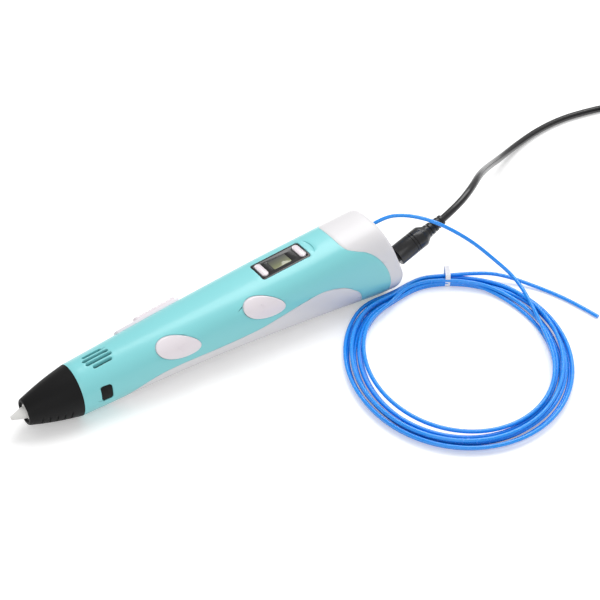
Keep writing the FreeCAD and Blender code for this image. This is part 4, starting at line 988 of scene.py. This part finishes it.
ferrule = turned("filament_ferrule", [(-7, 1.05), (-7, 2.3), (-0.75, 2.3), (-0.6, 2.15), (-0.6, 1.25),
                                      (-0.8, 1.05), (-7, 1.05)])
settle(ferrule, brass, BODY, ["inlet_ferrule"], 30, INLET_PLACE)

far_plug = plate("far_plug_grip", 24.0, 12.4, 1.5, 12.0, 18.6, (397.0, 24.0))
soften(far_plug, 0.6, 4)
settle(far_plug, cable, BODY, ["usb_plug"])
far_shell = plate("far_plug_shell", 12.0, 12.0, 0.3, 13.05, 17.55, (379.0, 24.0))
combine(far_shell, "DIFFERENCE", plate("far_socket", 12.0, 11.2, 0.2, 13.45, 17.15, (378.4, 24.0)))
settle(far_shell, can, BODY)

outer_tie = Vector(ring_point(math.radians(90), -0.4, 2.65))
inner_tie = Vector(ring_point(math.radians(90), 8.2, 2.65))
radial = (inner_tie - outer_tie).normalized()
upward = Vector((0, 0, 1))
across_tie = Matrix((radial, upward, radial.cross(upward))).transposed().to_4x4()
tie = plate("coil_tie", (inner_tie - outer_tie).length, 6.9, 1.9, -1.1, 1.1)
combine(tie, "DIFFERENCE", plate("tie_inside", (inner_tie - outer_tie).length - 0.8, 6.2, 1.6, -3, 3))
move_mesh(tie, Matrix.Translation((outer_tie + inner_tie) / 2 + Vector((0, 0, 0.85))) @ across_tie)
settle(tie, tie_plastic, BODY)

at(*LINE_POINTS[0])
at(*LEAD_POINTS[0])

# %% [markdown]
# The pen lies on a white table under soft light. One large lamp stands high above the slider's
# side, a smaller one fills from the front, and the world gives the rest. The floor
# takes shadows, and shows itself to the camera as white.

# %% Table and light
def lamp(name, place, aim, size, power):
    bpy.ops.object.light_add(type="AREA", location=place)
    light = bpy.context.object
    light.name = name
    light.data.size = size
    light.data.energy = power
    light.rotation_euler = (Vector(aim) - Vector(place)).to_track_quat("-Z", "Y").to_euler()


lamp("window_lamp", (0.45, 0.25, 0.9), (0.02, 0, 0), 0.75, 7.5)
lamp("front_fill", (-0.55, -0.7, 0.55), (0.02, 0, 0), 0.8, 2.2)

bpy.ops.mesh.primitive_plane_add(size=6, location=(0, 0, -0.0001))
table = fresh("table")
paper = Finish("table_white", (0.86, 0.86, 0.86, 1.0), 0.7)
seen = paper.add("ShaderNodeLightPath", {}, {}, "Is Camera Ray")
glossy = paper.add("ShaderNodeLightPath", {}, {}, "Is Glossy Ray")
paper.feed("Emission Strength", (seen + glossy) * 0.30)
paper.shader.inputs["Emission Color"].default_value = (1, 1, 1, 1)
dress(table, paper)

world = bpy.data.worlds.new("studio")
bpy.context.scene.world = world
world.use_nodes = True
sky = world.node_tree.nodes["Background"]
sky.inputs["Color"].default_value = (1, 1, 1, 1)
path = world.node_tree.nodes.new("ShaderNodeLightPath")
strength = world.node_tree.nodes.new("ShaderNodeMapRange")
world.node_tree.links.new(path.outputs["Is Camera Ray"], strength.inputs["Value"])
strength.inputs["To Min"].default_value = 0.55
strength.inputs["To Max"].default_value = 1.0
world.node_tree.links.new(strength.outputs["Result"], sky.inputs["Strength"])
bpy.context.scene.view_settings.view_transform = "Standard"
deselect()
